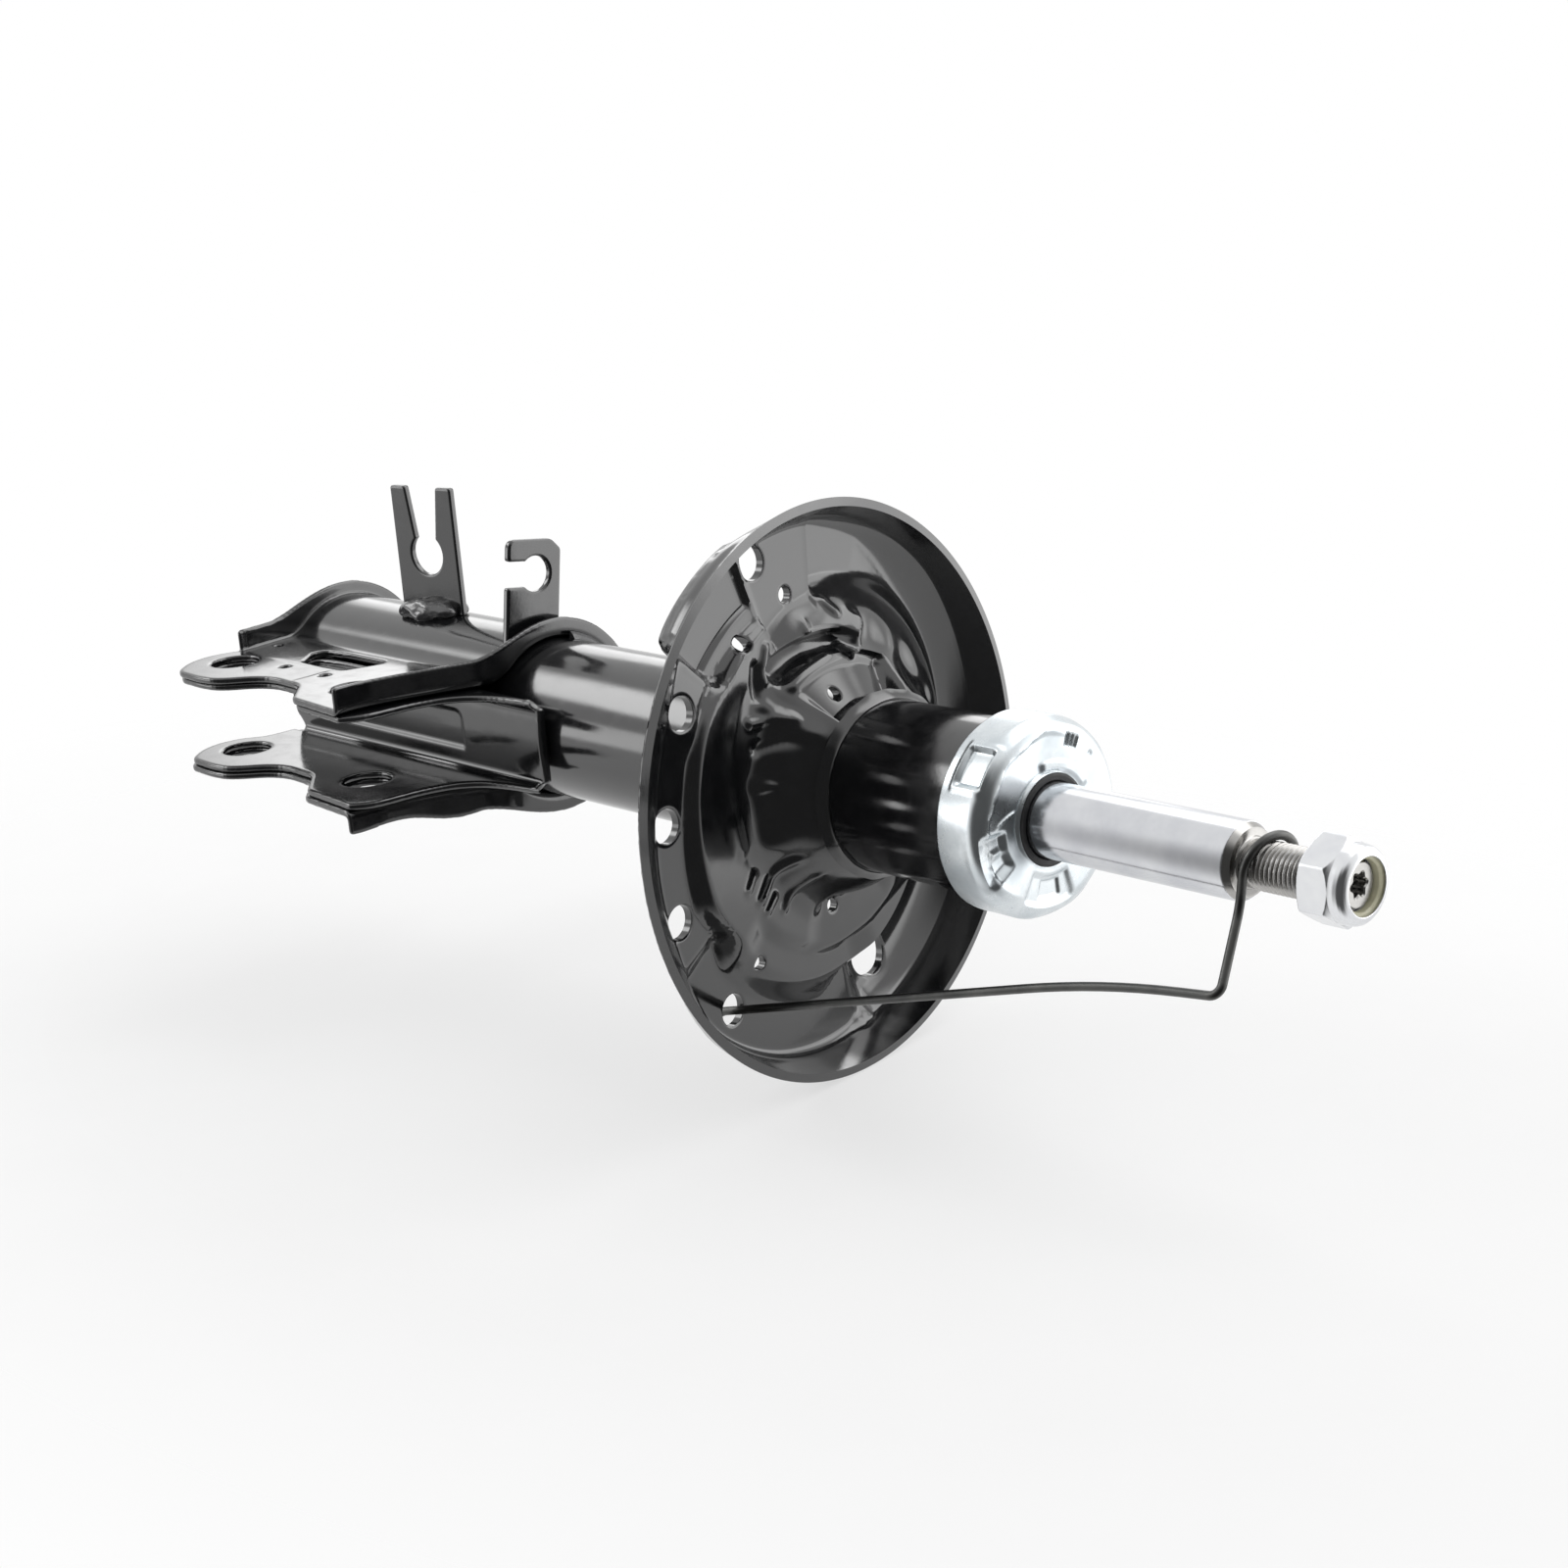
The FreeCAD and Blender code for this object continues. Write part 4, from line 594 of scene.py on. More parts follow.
def sample(line, field, x, y):
    """Value of a gridded field between its points."""
    pitch = line[1] - line[0]
    i, j = (x - line[0]) / pitch, (y - line[0]) / pitch
    i0 = np.clip(np.floor(i).astype(int), 0, len(line) - 2)
    j0 = np.clip(np.floor(j).astype(int), 0, len(line) - 2)
    s, t = i - i0, j - j0
    return (field[i0, j0] * (1 - s) * (1 - t) + field[i0 + 1, j0] * s * (1 - t)
            + field[i0, j0 + 1] * (1 - s) * t + field[i0 + 1, j0 + 1] * s * t)


def seat_outline_points():
    """Points of the seat's plan: rings from the tube to the rim, denser where it bends."""
    turns = 420
    radii = np.concatenate([np.linspace(*run) for run in (
        (HUB_BORE, 58.0, 36), (58.8, 66.0, 9), (67.0, 77.0, 10), (77.7, 83.0, 8),
        (83.3, RIM_INSIDE, 9))])
    hub = np.array(tube_centre(-DOME[0][1]))
    points = np.concatenate([ring(hub * (1 - ease(radius, 27.0, 58.0)), radius, circle(turns))
                             for radius in radii])
    keep = np.ones(len(points), bool)
    added = []
    for angle, radius, half in SEAT_HOLES:
        centre = polar(angle, radius)
        keep &= to_spot(*points.T, centre) > half + 2.1
        number = max(22, int(2 * np.pi * half / 0.8))
        for grow in (0.0, 0.35, 0.8, 1.4):
            added.append(ring(centre, half + grow, (np.arange(number) + grow) * 2 * np.pi / number))
    keep[:turns] = True
    keep[-turns:] = True
    return np.concatenate([points[keep]] + added)


def near_hole(x, y):
    """Distance past the edge of the nearest hole."""
    return np.minimum.reduce([to_spot(x, y, polar(angle, radius)) - half
                              for angle, radius, half in SEAT_HOLES])


def bulge(angle):
    """The wall behind the raised land stands proud of the rim, with an abrupt lower end."""
    return 1.5 * ease(angle, 313.6, 315.6) * ease(angle, 352.0, 336.0)


def spring_seat():
    """Pressed spring seat as one closed sheet with its holes."""
    points = seat_outline_points()
    found = geometry.delaunay_2d_cdt([Vector(p) for p in points], [], [], 0, 1e-5)
    flat = np.array([tuple(v) for v in found[0]])
    middle = [flat[list(face)].mean(0) for face in found[2]]
    x, y = np.array(middle).T
    from_tube = to_spot(x, y, tube_centre(-DOME[0][1]))
    inside = (near_hole(x, y) > 0) & (from_tube > HUB_BORE) & (np.hypot(x, y) < RIM_INSIDE)
    triangles = [face for face, ok in zip(found[2], inside) if ok]
    x, y = flat.T
    radius, angle = np.hypot(x, y), np.degrees(np.arctan2(y, x)) % 360.0
    front = seat_depth(x, y) + 0.35 * ease(near_hole(x, y), 0.5, 0.0)
    line, field = sheet_behind(92.0)
    outward = (RIM_OUTSIDE - RIM_INSIDE) * ease(radius, 77.0, RIM_INSIDE)
    grown = (radius + outward) / np.maximum(radius, 1e-6)
    behind = sample(line, field, x * grown, y * grown)
    behind = np.maximum(behind, front + 0.4)
    behind = np.where(radius > RIM_INSIDE - 0.01, 0.7, behind)

    def placed(px, py, depth):
        far = np.hypot(px, py)
        push = bulge(angle) * ease(depth, 0.6, 6.5) * ease(radius, 74.0, 83.0)
        scale = (far + push) / np.maximum(far, 1e-6)
        return np.stack([px * scale, py * scale, -depth], 1)

    turn, centre = seat_frame()
    sides = [placed(x, y, front), placed(x * grown, y * grown, behind)]
    places = np.concatenate([side @ turn.T + centre for side in sides]) * MM
    count = len(flat)
    mesh = bmesh.new()
    verts = [mesh.verts.new(place) for place in places]
    for a, b, c in triangles:
        mesh.faces.new((verts[a], verts[b], verts[c]))
        mesh.faces.new((verts[count + c], verts[count + b], verts[count + a]))
    mesh.verts.index_update()
    for edge in [edge for edge in mesh.edges if edge.is_boundary]:
        loop = edge.link_loops[0]
        first, second = loop.vert.index, loop.link_loop_next.vert.index
        if first < count:
            mesh.faces.new((verts[second], verts[first], verts[count + first],
                            verts[count + second]))
    piece("spring_seat_pressing", mesh, "spring_seat")


def piece(name, mesh, node, slot="black_paint", body="strut_body", sharp=40.0):
    """A smooth shaded piece from a bmesh. It rides on a body and stands for a CAD node."""
    loose = [vert for vert in mesh.verts if not vert.link_faces]
    bmesh.ops.delete(mesh, geom=loose, context="VERTS")
    bmesh.ops.recalc_face_normals(mesh, faces=mesh.faces)
    data = bpy.data.meshes.new(name)
    mesh.to_mesh(data)
    mesh.free()
    data.materials.append(looks[slot])
    data.shade_smooth()
    data.set_sharp_from_angle(angle=math.radians(sharp))
    made = add_object(name, data)
    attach(made, body)
    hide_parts(node)


def skin(mesh, rows, ahead=0, loop=False):
    """Quads over rings of points. In a thread each ring runs on into the one so many ahead."""
    verts = [[mesh.verts.new(point) for point in row] for row in np.asarray(rows) * MM]
    count = len(verts[0])
    for i in range(len(verts) - (0 if loop else 1 + ahead)):
        below = (i + 1) % len(verts)
        for j in range(count):
            skip, k = (ahead, 0) if j + 1 == count else (0, j + 1)
            mesh.faces.new((verts[i][j], verts[i + skip][k], verts[below + skip][k],
                            verts[below][j]))
    return verts


def skinned(rows, loop=False):
    """Closed surface over rings of points, with its ends filled or joined last to first."""
    mesh = bmesh.new()
    verts = skin(mesh, rows, loop=loop)
    if not loop:
        mesh.faces.new(verts[0][::-1])
        mesh.faces.new(verts[-1])
    return mesh


def round_x(x, radius, turn):
    """Points round the strut's axis; turn 0 is toward the ears and a quarter is up."""
    x, radius, turn = np.broadcast_arrays(x, radius, turn)
    return np.stack([x, -radius * np.cos(turn), radius * np.sin(turn)], -1)


def hat(value, low, high, soft):
    """1 between low and high, with soft flanks on the inside."""
    return ease(value, low, low + soft) * ease(value, high, high - soft)


# Cap, in millimetres along the strut and from its axis; angles start at the ears, 90 is up
CAP_START = 327.8
CAP_FACE = 344.7
CAP_RADIUS = 29.4
CAP_BORE = 13.5
CAP_CORNER = 5.6
CAP_SHEET = 1.5
CAP_HOLD = 26.1
CAP_PRESSED = (
    # two angles and their softness, two radii and their softness, depth
    (-106.0, -58.0, 6.0, 15.4, 25.6, 1.6, 0.9),
    (-95.0, -73.0, 3.0, 17.2, 23.0, 0.7, 0.7),
    (109.0, 112.0, 1.2, 20.8, 25.6, 0.8, 0.9),
    (113.5, 116.5, 1.2, 20.8, 25.6, 0.8, 0.9),
    (117.5, 120.5, 1.2, 20.8, 25.6, 0.8, 0.9),
    (137.0, 140.0, 1.5, 22.0, 24.0, 0.6, 0.4),
    (82.0, 152.0, 9.0, 13.9, 17.4, 0.9, -0.8),
)


def cap_press(angle, x, radius, on_face):
    """How far the cap's sheet is pressed in at each point."""
    ripple = 0.10 * np.sin(np.radians(angle) * 5 + 1.3) + 0.07 * np.sin(np.radians(angle) * 11)
    # a step that sinks the face below its bright outer bevel, on the side of the ears
    edge = 25.0 + 0.5 * np.sin(np.radians(angle) * 9)
    stepped = within(angle, -35.0, 100.0, 40.0) * ease(radius, edge + 0.4, edge - 1.0)
    face = 1.3 * stepped
    # deep pocket with a creased star at its foot
    deep = within(angle, -29.0, 2.0, 7.0) * hat(radius, 17.5, 29.0, 2.4)
    across, along = (angle + 13.5) / 12.0, (radius - 25.6) / 3.0
    star = np.clip(1.0 - np.abs(across) - np.abs(along), 0.0, 1.0)
    face = face + 1.9 * deep + 1.5 * star - 0.5 * deep * np.clip(1 - np.abs(across) * 2.6, 0, 1)
    # two pockets below the rod, struck marks near the top, the lifted edge over the bore
    for low, high, soft, near, far, blur, sunk in CAP_PRESSED:
        face = face + sunk * within(angle, low, high, soft) * hat(radius, near, far, blur)
    line = (angle - 22.0 + (radius - 15.0) * 2.2) * radius * 0.0175
    face = face - 0.45 * np.exp(-(line / 0.5) ** 2) * hat(radius, 14.2, 22.5, 1.6)
    # square pocket in the wall with a raised frame
    square = within(angle, 31.0, 54.0, 3.2) * hat(x, CAP_START + 3.6, CAP_FACE - 3.6, 1.1)
    frame_of = within(angle, 27.0, 58.0, 3.0) * hat(x, CAP_START + 2.4, CAP_FACE - 2.2, 1.0)
    wall = 1.5 * square - 0.35 * (frame_of - square)
    wall = wall + 0.25 * np.sin(np.radians(angle) * 7) * ease(x, CAP_START + 9.0, CAP_FACE)
    return np.where(on_face, face, wall) + ripple * 0.6


def bump_cap():
    """Zinc plated cap: one pressed sheet with pockets, rolled in behind onto the tube."""
    turn = circle(320)
    angle = (np.degrees(turn) + 180.0) % 360.0 - 180.0
    flat = CAP_RADIUS - CAP_CORNER
    corner = np.linspace(0, np.pi / 2, 13)[1:]
    # the sheet's outer line: along the face, round the corner and back along the wall
    x = np.concatenate([np.full(32, CAP_FACE), CAP_FACE - CAP_CORNER * (1 - np.cos(corner)),
                        np.linspace(CAP_FACE - CAP_CORNER, CAP_START, 26)[1:]])
    radius = np.concatenate([np.linspace(CAP_BORE, flat, 32), flat + CAP_CORNER * np.sin(corner),
                             np.full(25, CAP_RADIUS)])
    lean = np.concatenate([np.zeros(32), corner, np.full(25, np.pi / 2)])
    rows = []
    for sheet in (0.0, CAP_SHEET):
        for px, pr, tilt in zip(x, radius, lean):
            if sheet and px < CAP_START + 6.0:
                continue
            push = cap_press(angle, px, pr, tilt < 0.9) * ease(pr, CAP_BORE, CAP_BORE + 0.5)
            push = np.maximum(push, -0.9) + sheet
            rows.append(round_x(px - push * math.cos(tilt), pr - push * math.sin(tilt), turn))
    hold = [round_x(px, CAP_HOLD, turn) for px in (CAP_START, CAP_START + 4.0)]
    mesh = skinned(rows[:len(x)] + hold + rows[len(x):][::-1], loop=True)
    piece("bump_cap_pressing", mesh, "bump_cap", "zinc_plate")


# Piston rod, in millimetres: a chromed bar, and its bare stud with a fine thread
ROD_PROFILE = ((40.0, 5.0), (41.0, 6.0), (65.2, 6.0), (65.2, 10.4), (65.8, 11.0), (413.0, 11.0),
               (413.4, 10.85), (413.4, 6.0))
STUD_START = 416.2
STUD_END = 449.6
STUD_RADIUS = 6.98
STUD_PROFILE = ((413.3, 6.0), (413.3, 10.75), (414.9, 9.7), (415.2, 9.5), (415.2, 7.9),
                (415.5, 7.3), (415.9, 7.1), (STUD_START, STUD_RADIUS - 0.35))
THREAD_PITCH = 1.5
THREAD_DEPTH = 0.90
THREAD_ROWS = 10
SOCKET_RADIUS = 3.05
SOCKET_LOBE = 0.48
SOCKET_DEPTH = 5.0


def thread_points(row, turn):
    """One line of the thread's helix; it stops at both ends of the stud."""
    run = THREAD_PITCH / THREAD_ROWS
    x = STUD_START - THREAD_PITCH + row * run + THREAD_PITCH * turn / (2 * np.pi)
    x = np.clip(x, STUD_START, STUD_END)
    groove = np.clip(abs((row / THREAD_ROWS) % 1.0 - 0.5) * 2.5 - 0.2, 0.0, 1.0)
    begun = ease(x, STUD_START + 2.4, STUD_START + 3.8)
    end = ease(x, STUD_END, STUD_END - 1.6)
    crest = STUD_RADIUS - 0.35 * (1 - begun) - 1.0 * (1 - end)
    return round_x(x, crest - THREAD_DEPTH * begun * groove * end, turn)


def piston_rod():
    """Chromed bar, and a stud with a rolled thread and a six lobed socket in its end."""
    turn = circle(120)

    def rings(profile):
        return [round_x(x, radius, turn) for x, radius in profile]

    piece("piston_rod_bar", skinned(rings(ROD_PROFILE)), "piston_rod", "rod_chrome", "rod", 34.0)
    # the stud is turned before and after its thread, whose lines run on one pitch at each turn
    mesh = bmesh.new()
    skin(mesh, rings(STUD_PROFILE))
    number = int((STUD_END - STUD_START) / THREAD_PITCH + 2.5) * THREAD_ROWS
    skin(mesh, [thread_points(row, turn) for row in range(number)], THREAD_ROWS)
    lobes = SOCKET_RADIUS + SOCKET_LOBE * np.cos(6 * turn)
    after = skin(mesh, rings((
        (STUD_END, STUD_RADIUS - 1.0), (STUD_END, lobes + 0.5), (STUD_END - 0.4, lobes),
        (STUD_END - SOCKET_DEPTH, lobes), (STUD_END - SOCKET_DEPTH - 0.8, lobes * 0.3))))
    mesh.faces.new(after[-1])
    bmesh.ops.remove_doubles(mesh, verts=mesh.verts, dist=1e-6)
    ends = [edge for edge in mesh.edges if edge.is_boundary]
    bmesh.ops.holes_fill(mesh, edges=ends, sides=0)
    piece("piston_rod_stud", mesh, "piston_rod", "bare_steel", "rod", 34.0)


# Top nut, in millimetres
NUT_START = 437.4
NUT_ACROSS = 22.0
NUT_CORNER = 12.62
NUT_PHASE = math.radians(3.0)
# Turned outline of the nut: distance from its seat and radius, then back through the bore
NUT_OUTSIDE = ((0.0, 10.1), (0.35, 10.9), (1.3, 12.75), (8.7, 12.75), (9.4, 12.0), (9.9, 11.2),
               (10.0, 11.0), (10.5, 10.95), (11.6, 10.9), (12.8, 10.7), (13.6, 10.35), (14.2, 9.75),
               (14.6, 9.0), (14.75, 8.5), (14.8, 8.1))
NUT_INSIDE = ((14.65, 7.95), (14.1, 8.3), (13.9, 8.8), (11.3, 8.8), (11.3, 7.06), (0.9, 7.06),
              (0.0, 7.9))


def top_nut():
    """Hexagon nut with chamfered corners and a rolled collar."""
    turn = circle(288)
    sector = (turn - NUT_PHASE + np.pi / 6) % (np.pi / 3) - np.pi / 6
    half = NUT_ACROSS / 2 / np.cos(sector)
    half = soft_min(half, np.full_like(half, NUT_CORNER), 0.25)
    outside = np.array(NUT_OUTSIDE)
    stops = np.concatenate([np.linspace(a, b, 6)[:-1] for a, b
                            in zip(outside[:-1, 0], outside[1:, 0])] + [outside[-1:, 0]])
    rows = [round_x(NUT_START + stop, np.minimum(half, np.interp(stop, *outside.T)), turn)
            for stop in stops]
    rows += [round_x(NUT_START + x, radius, turn) for x, radius in NUT_INSIDE]
    piece("top_nut_forged", skinned(rows, loop=True), "top_nut", "nut_zinc", "rod", 30.0)


def seat_weld():
    """Soft fillet of weld and paint between the seat's dome and the tube."""
    turn = circle(180)
    low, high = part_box("seat_weld")
    start, stop = low[0] / MM, high[0] / MM
    grown = high[2] / MM - 0.35
    ripple = 0.12 * np.sin(9 * turn + 0.7) + 0.1 * np.sin(23 * turn)
    rows = []
    for share in np.linspace(0.0, 1.0, 14):
        rest = 1.0 - share
        radius = HUB_BORE + (grown - HUB_BORE) * rest ** 1.7 + ripple * rest + 0.1
        rows.append(round_x(start + (stop - start) * share, radius, turn))
    rows += [round_x(end, HUB_BORE - 0.02, turn) for end in (stop, start)]
    piece("seat_weld_fillet", skinned(rows, loop=True), "seat_weld")


# Hose bracket: station along the strut, half width and turn of its plate, size of its welds,
# then the radius it stands on, its thickness and the pitch of the grid for its surface
HOSE_STATION = 60.2
HOSE_HALF_WIDTH = 13.5
HOSE_TURN = 10.0
WELD_WIDTH = 5.8
WELD_HEIGHT = 3.8
WRAP_OUTER = 28.5
PLATE = 2.5
PLATE_PITCH = 0.34

# Sensor line bracket: station along the strut and lean of its plate
LINE_STATION = 115.6
LINE_LEAN = 9.0


def weld_bead(name, ends, outward, upward, seed):
    """A lumpy bead between two ends: rounded ends, ripples and craters."""
    start, stop = ends
    turn = circle(48)
    rows = []
    for share in np.linspace(0.0, 1.0, 91):
        dome = math.sqrt(max(0.0, 1 - abs(2 * share - 1) ** 3)) + 0.02
        ripple = 1 + 0.07 * math.sin(share * 11 + 2 * seed)
        rough = [noise.noise(Vector((share * 4, math.cos(t), math.sin(t) + seed)))
                 + 0.3 * noise.noise(Vector((share * 10, math.cos(t) * 2.5,
                                             math.sin(t) * 2.5 + seed))) for t in turn]
        size = dome * ripple * (1 + 0.2 * np.array(rough))
        rows.append(start + (stop - start) * share
                    + np.outer(WELD_WIDTH * size * np.cos(turn), outward)
                    + np.outer(WELD_HEIGHT * size * np.sin(turn), upward))
    piece(name, skinned(rows), "hose_bracket_weld", "painted_weld", sharp=80.0)


def hose_welds():
    """Rough beads on both sides of the hose bracket's foot."""
    turn = math.radians(HOSE_TURN)
    along = np.array((math.cos(turn), math.sin(turn), 0.0))
    for name, side, gap, seed in (("hose_weld_front", 1, PLATE + 0.9, 1.0),
                                  ("hose_weld_back", -1, 1.2, 5.0)):
        outward = np.array((math.sin(turn), -math.cos(turn), 0.0)) * side
        ends = []
        for end in (-1, 1):
            spot = along * (end * (HOSE_HALF_WIDTH - 0.6) - 1.2) + outward * gap
            spot[0] += HOSE_STATION
            spot[2] = math.sqrt(WRAP_OUTER ** 2 - spot[1] ** 2) + 1.5
            ends.append(spot)
        upward = np.array((0.0, ends[0][1] / WRAP_OUTER, ends[0][2] / WRAP_OUTER))
        weld_bead(name, ends, outward, upward, seed)


# Knuckle bracket and channel, in millimetres. Shapes are signed distances, negative inside.
SHEET = 2.4
WRAP_INNER = 26.1
CHANNEL_INSIDE = 13.4
EAR_INSIDE = CHANNEL_INSIDE + SHEET
EAR_OUTSIDE = EAR_INSIDE + SHEET
LIP_TOP = 25.5
FLANGE_RADIUS = 33.0
BRACKET_END = 124.0
REACH = 79.0
BOLT_FIRST = 16.0
BOLT_LAST = 88.8
BOLT_LINE = 57.0
BOLT_HOLE = 8.25
LOCATING_HOLE = 1.7
WEB_BACK = 27.0
WEB_FRONT = 29.4
CHANNEL_LEFT = 12.0
CHANNEL_STOP = 151.0
NET_PITCH = 0.62


def round_both(first, second, radius):
    """Inside both shapes, with a rounded outer corner."""
    return (np.minimum(np.maximum(first, second), -radius)
            + np.hypot(np.maximum(first + radius, 0.0), np.maximum(second + radius, 0.0)))


def round_either(first, second, radius):
    """Inside either shape, with a fillet in the corner between them."""
    return -round_both(-first, -second, radius)


def rounded(corners, reach):
    """Closed outline with its corners bent round over the reach; a corner may have its own."""
    places = np.array([corner[:2] for corner in corners], float)
    points = []
    for number, corner in enumerate(places):
        back = places[number - 1] - corner
        ahead = places[(number + 1) % len(places)] - corner
        own = corners[number][2] if len(corners[number]) > 2 else reach
        start = corner + back * min(own / np.hypot(*back), 0.48)
        stop = corner + ahead * min(own / np.hypot(*ahead), 0.48)
        for share in np.linspace(0.0, 1.0, 7):
            points.append(start * (1 - share) ** 2 + corner * 2 * share * (1 - share)
                          + stop * share ** 2)
    return np.array(points)


def outline_distance(points, x, y):
    """Signed distance to a closed outline."""
    x, y = np.broadcast_arrays(x, y)
    away = np.full(x.shape, 1e9)
    inside = np.zeros(x.shape, bool)
    for start, stop in zip(points, np.roll(points, -1, 0)):
        run = stop - start
        if run.dot(run) < 1e-12:
            continue
        away = np.minimum(away, to_stretch(x, y, start, stop))
        if run[1]:
            level = (start[1] > y) != (stop[1] > y)
            inside ^= level & (x < start[0] + (y - start[1]) * run[0] / run[1])
    return np.where(inside, -away, away)


def net_surface(field, axes, pitch):
    """Points and quads of the surface where a gridded field is zero, one point in each cell."""
    inside = field < 0
    shape = np.array(field.shape) - 1
    corners = [np.array((i, j, k)) for i in (0, 1) for j in (0, 1) for k in (0, 1)]
    count = np.zeros(shape, np.int8)
    for i, j, k in corners:
        count += inside[i:i + shape[0], j:j + shape[1], k:k + shape[2]]
    cells = np.argwhere((count > 0) & (count < 8))
    number = np.full(shape, -1)
    number[tuple(cells.T)] = np.arange(len(cells))
    values = [field[tuple((cells + corner).T)] for corner in corners]
    total = np.zeros((len(cells), 3))
    hits = np.zeros(len(cells))
    for a in range(8):
        for b in range(a + 1, 8):
            step = corners[b] - corners[a]
            if np.abs(step).sum() != 1:
                continue
            cross = (values[a] < 0) != (values[b] < 0)
            share = values[a] / np.where(cross, values[a] - values[b], 1.0)
            total += (corners[a] + share[:, None] * step) * cross[:, None]
            hits += cross
    points = (cells + total / hits[:, None]) * pitch + [axis.flat[0] for axis in axes]
    quads = []
    for axis in range(3):
        edges = np.argwhere(np.diff(inside, axis=axis))
        one, two = np.roll(np.eye(3, dtype=int), -axis - 1, 0)[:2]
        quad = np.stack([number[tuple((edges - move).T)] for move in (0 * one, one, one + two, two)],
                        1)
        turned = inside[tuple(edges.T)]
        quad[turned] = quad[turned][:, ::-1]
        quads.append(quad)
    return points, np.concatenate(quads)


def net_mesh(field, axes, pitch, keep, rounds=2, place=None):
    """A smoothed and thinned closed mesh of a field; keep is the share of faces that stays."""
    points, quads = net_surface(field, axes, pitch)
    if place:
        points = np.stack(place(*points.T), 1)
    data = bpy.data.meshes.new("net")
    data.from_pydata((points * MM).tolist(), [], quads.tolist())
    holder = add_object("net", data)
    smooth = holder.modifiers.new("smooth", "SMOOTH")
    smooth.factor = 0.5
    smooth.iterations = rounds
    thin = holder.modifiers.new("thin", "DECIMATE")
    thin.ratio = keep
    mesh = bmesh.new()
    mesh.from_object(holder, bpy.context.evaluated_depsgraph_get())
    bpy.data.objects.remove(holder)
    bpy.data.meshes.remove(data)
    return mesh


def grid_of(low, high, pitch):
    """Coordinates along each axis, a little wider than the box, as grids that broadcast."""
    lines = [np.arange(a - 2 * pitch, b + 2.5 * pitch, pitch) for a, b in zip(low, high)]
    return np.meshgrid(*lines, indexing="ij", sparse=True)


def ear_outline(inset):
    """Plan of an ear: two lobes, one round each knuckle bolt, with a waist between them."""
    tip = REACH - inset
    return [
        (BOLT_LAST + 20.5 - inset, -tip, 1.5), (BOLT_LAST - 8.8 + inset, -tip + 2.6, 2.0),
        (BOLT_FIRST + 50.0, -(BOLT_LINE + 7.2) + inset, 4.0),
        (BOLT_FIRST + 29.0, -(BOLT_LINE + 6.0) + inset, 9.0),
        (BOLT_FIRST + 16.5, -tip + 3.4, 7.0), (BOLT_FIRST + 8.0, -tip + 2.0, 5.0),
        (BOLT_FIRST - 7.0, -tip + 2.8, 4.0), (BOLT_FIRST - 14.6 + inset, -(BOLT_LINE + 10.5), 6.0),
        (BOLT_FIRST - 17.2 + inset, -(BOLT_LINE + 1.5), 6.0),
        (BOLT_FIRST - 15.2 + inset, -(BOLT_LINE - 7.5), 5.0),
        (BOLT_FIRST - 10.5 + inset, -(BOLT_LINE - 12.5), 3.0),
    ]


def ear_openings(x, y, far):
    """Distance past the bolt holes of both ears, and past all openings of the upper ear."""
    bolts = np.minimum(*(np.hypot(x - along, y + BOLT_LINE) - BOLT_HOLE
                         for along in (BOLT_FIRST, BOLT_LAST)))
    upper = bolts
    for along, across in ((-6.0, -22.0), (23.5, -5.2), (47.6, -5.1)):
        place = np.hypot(x - BOLT_FIRST - along, y + BOLT_LINE + across)
        upper = np.minimum(upper, place - LOCATING_HOLE)
    near = -(BOLT_LINE - 12.6)
    window = rounded([(BOLT_FIRST + along, across) for along, across in (
        (23.6, near), (15.6, far - 6.0), (17.0, far - 1.6), (29.0, far), (50.6, far),
        (52.4, far - 2.4), (47.6, near), (34.5, near - 0.4))], 2.2)
    return bolts, np.minimum(upper, outline_distance(window, x, y))


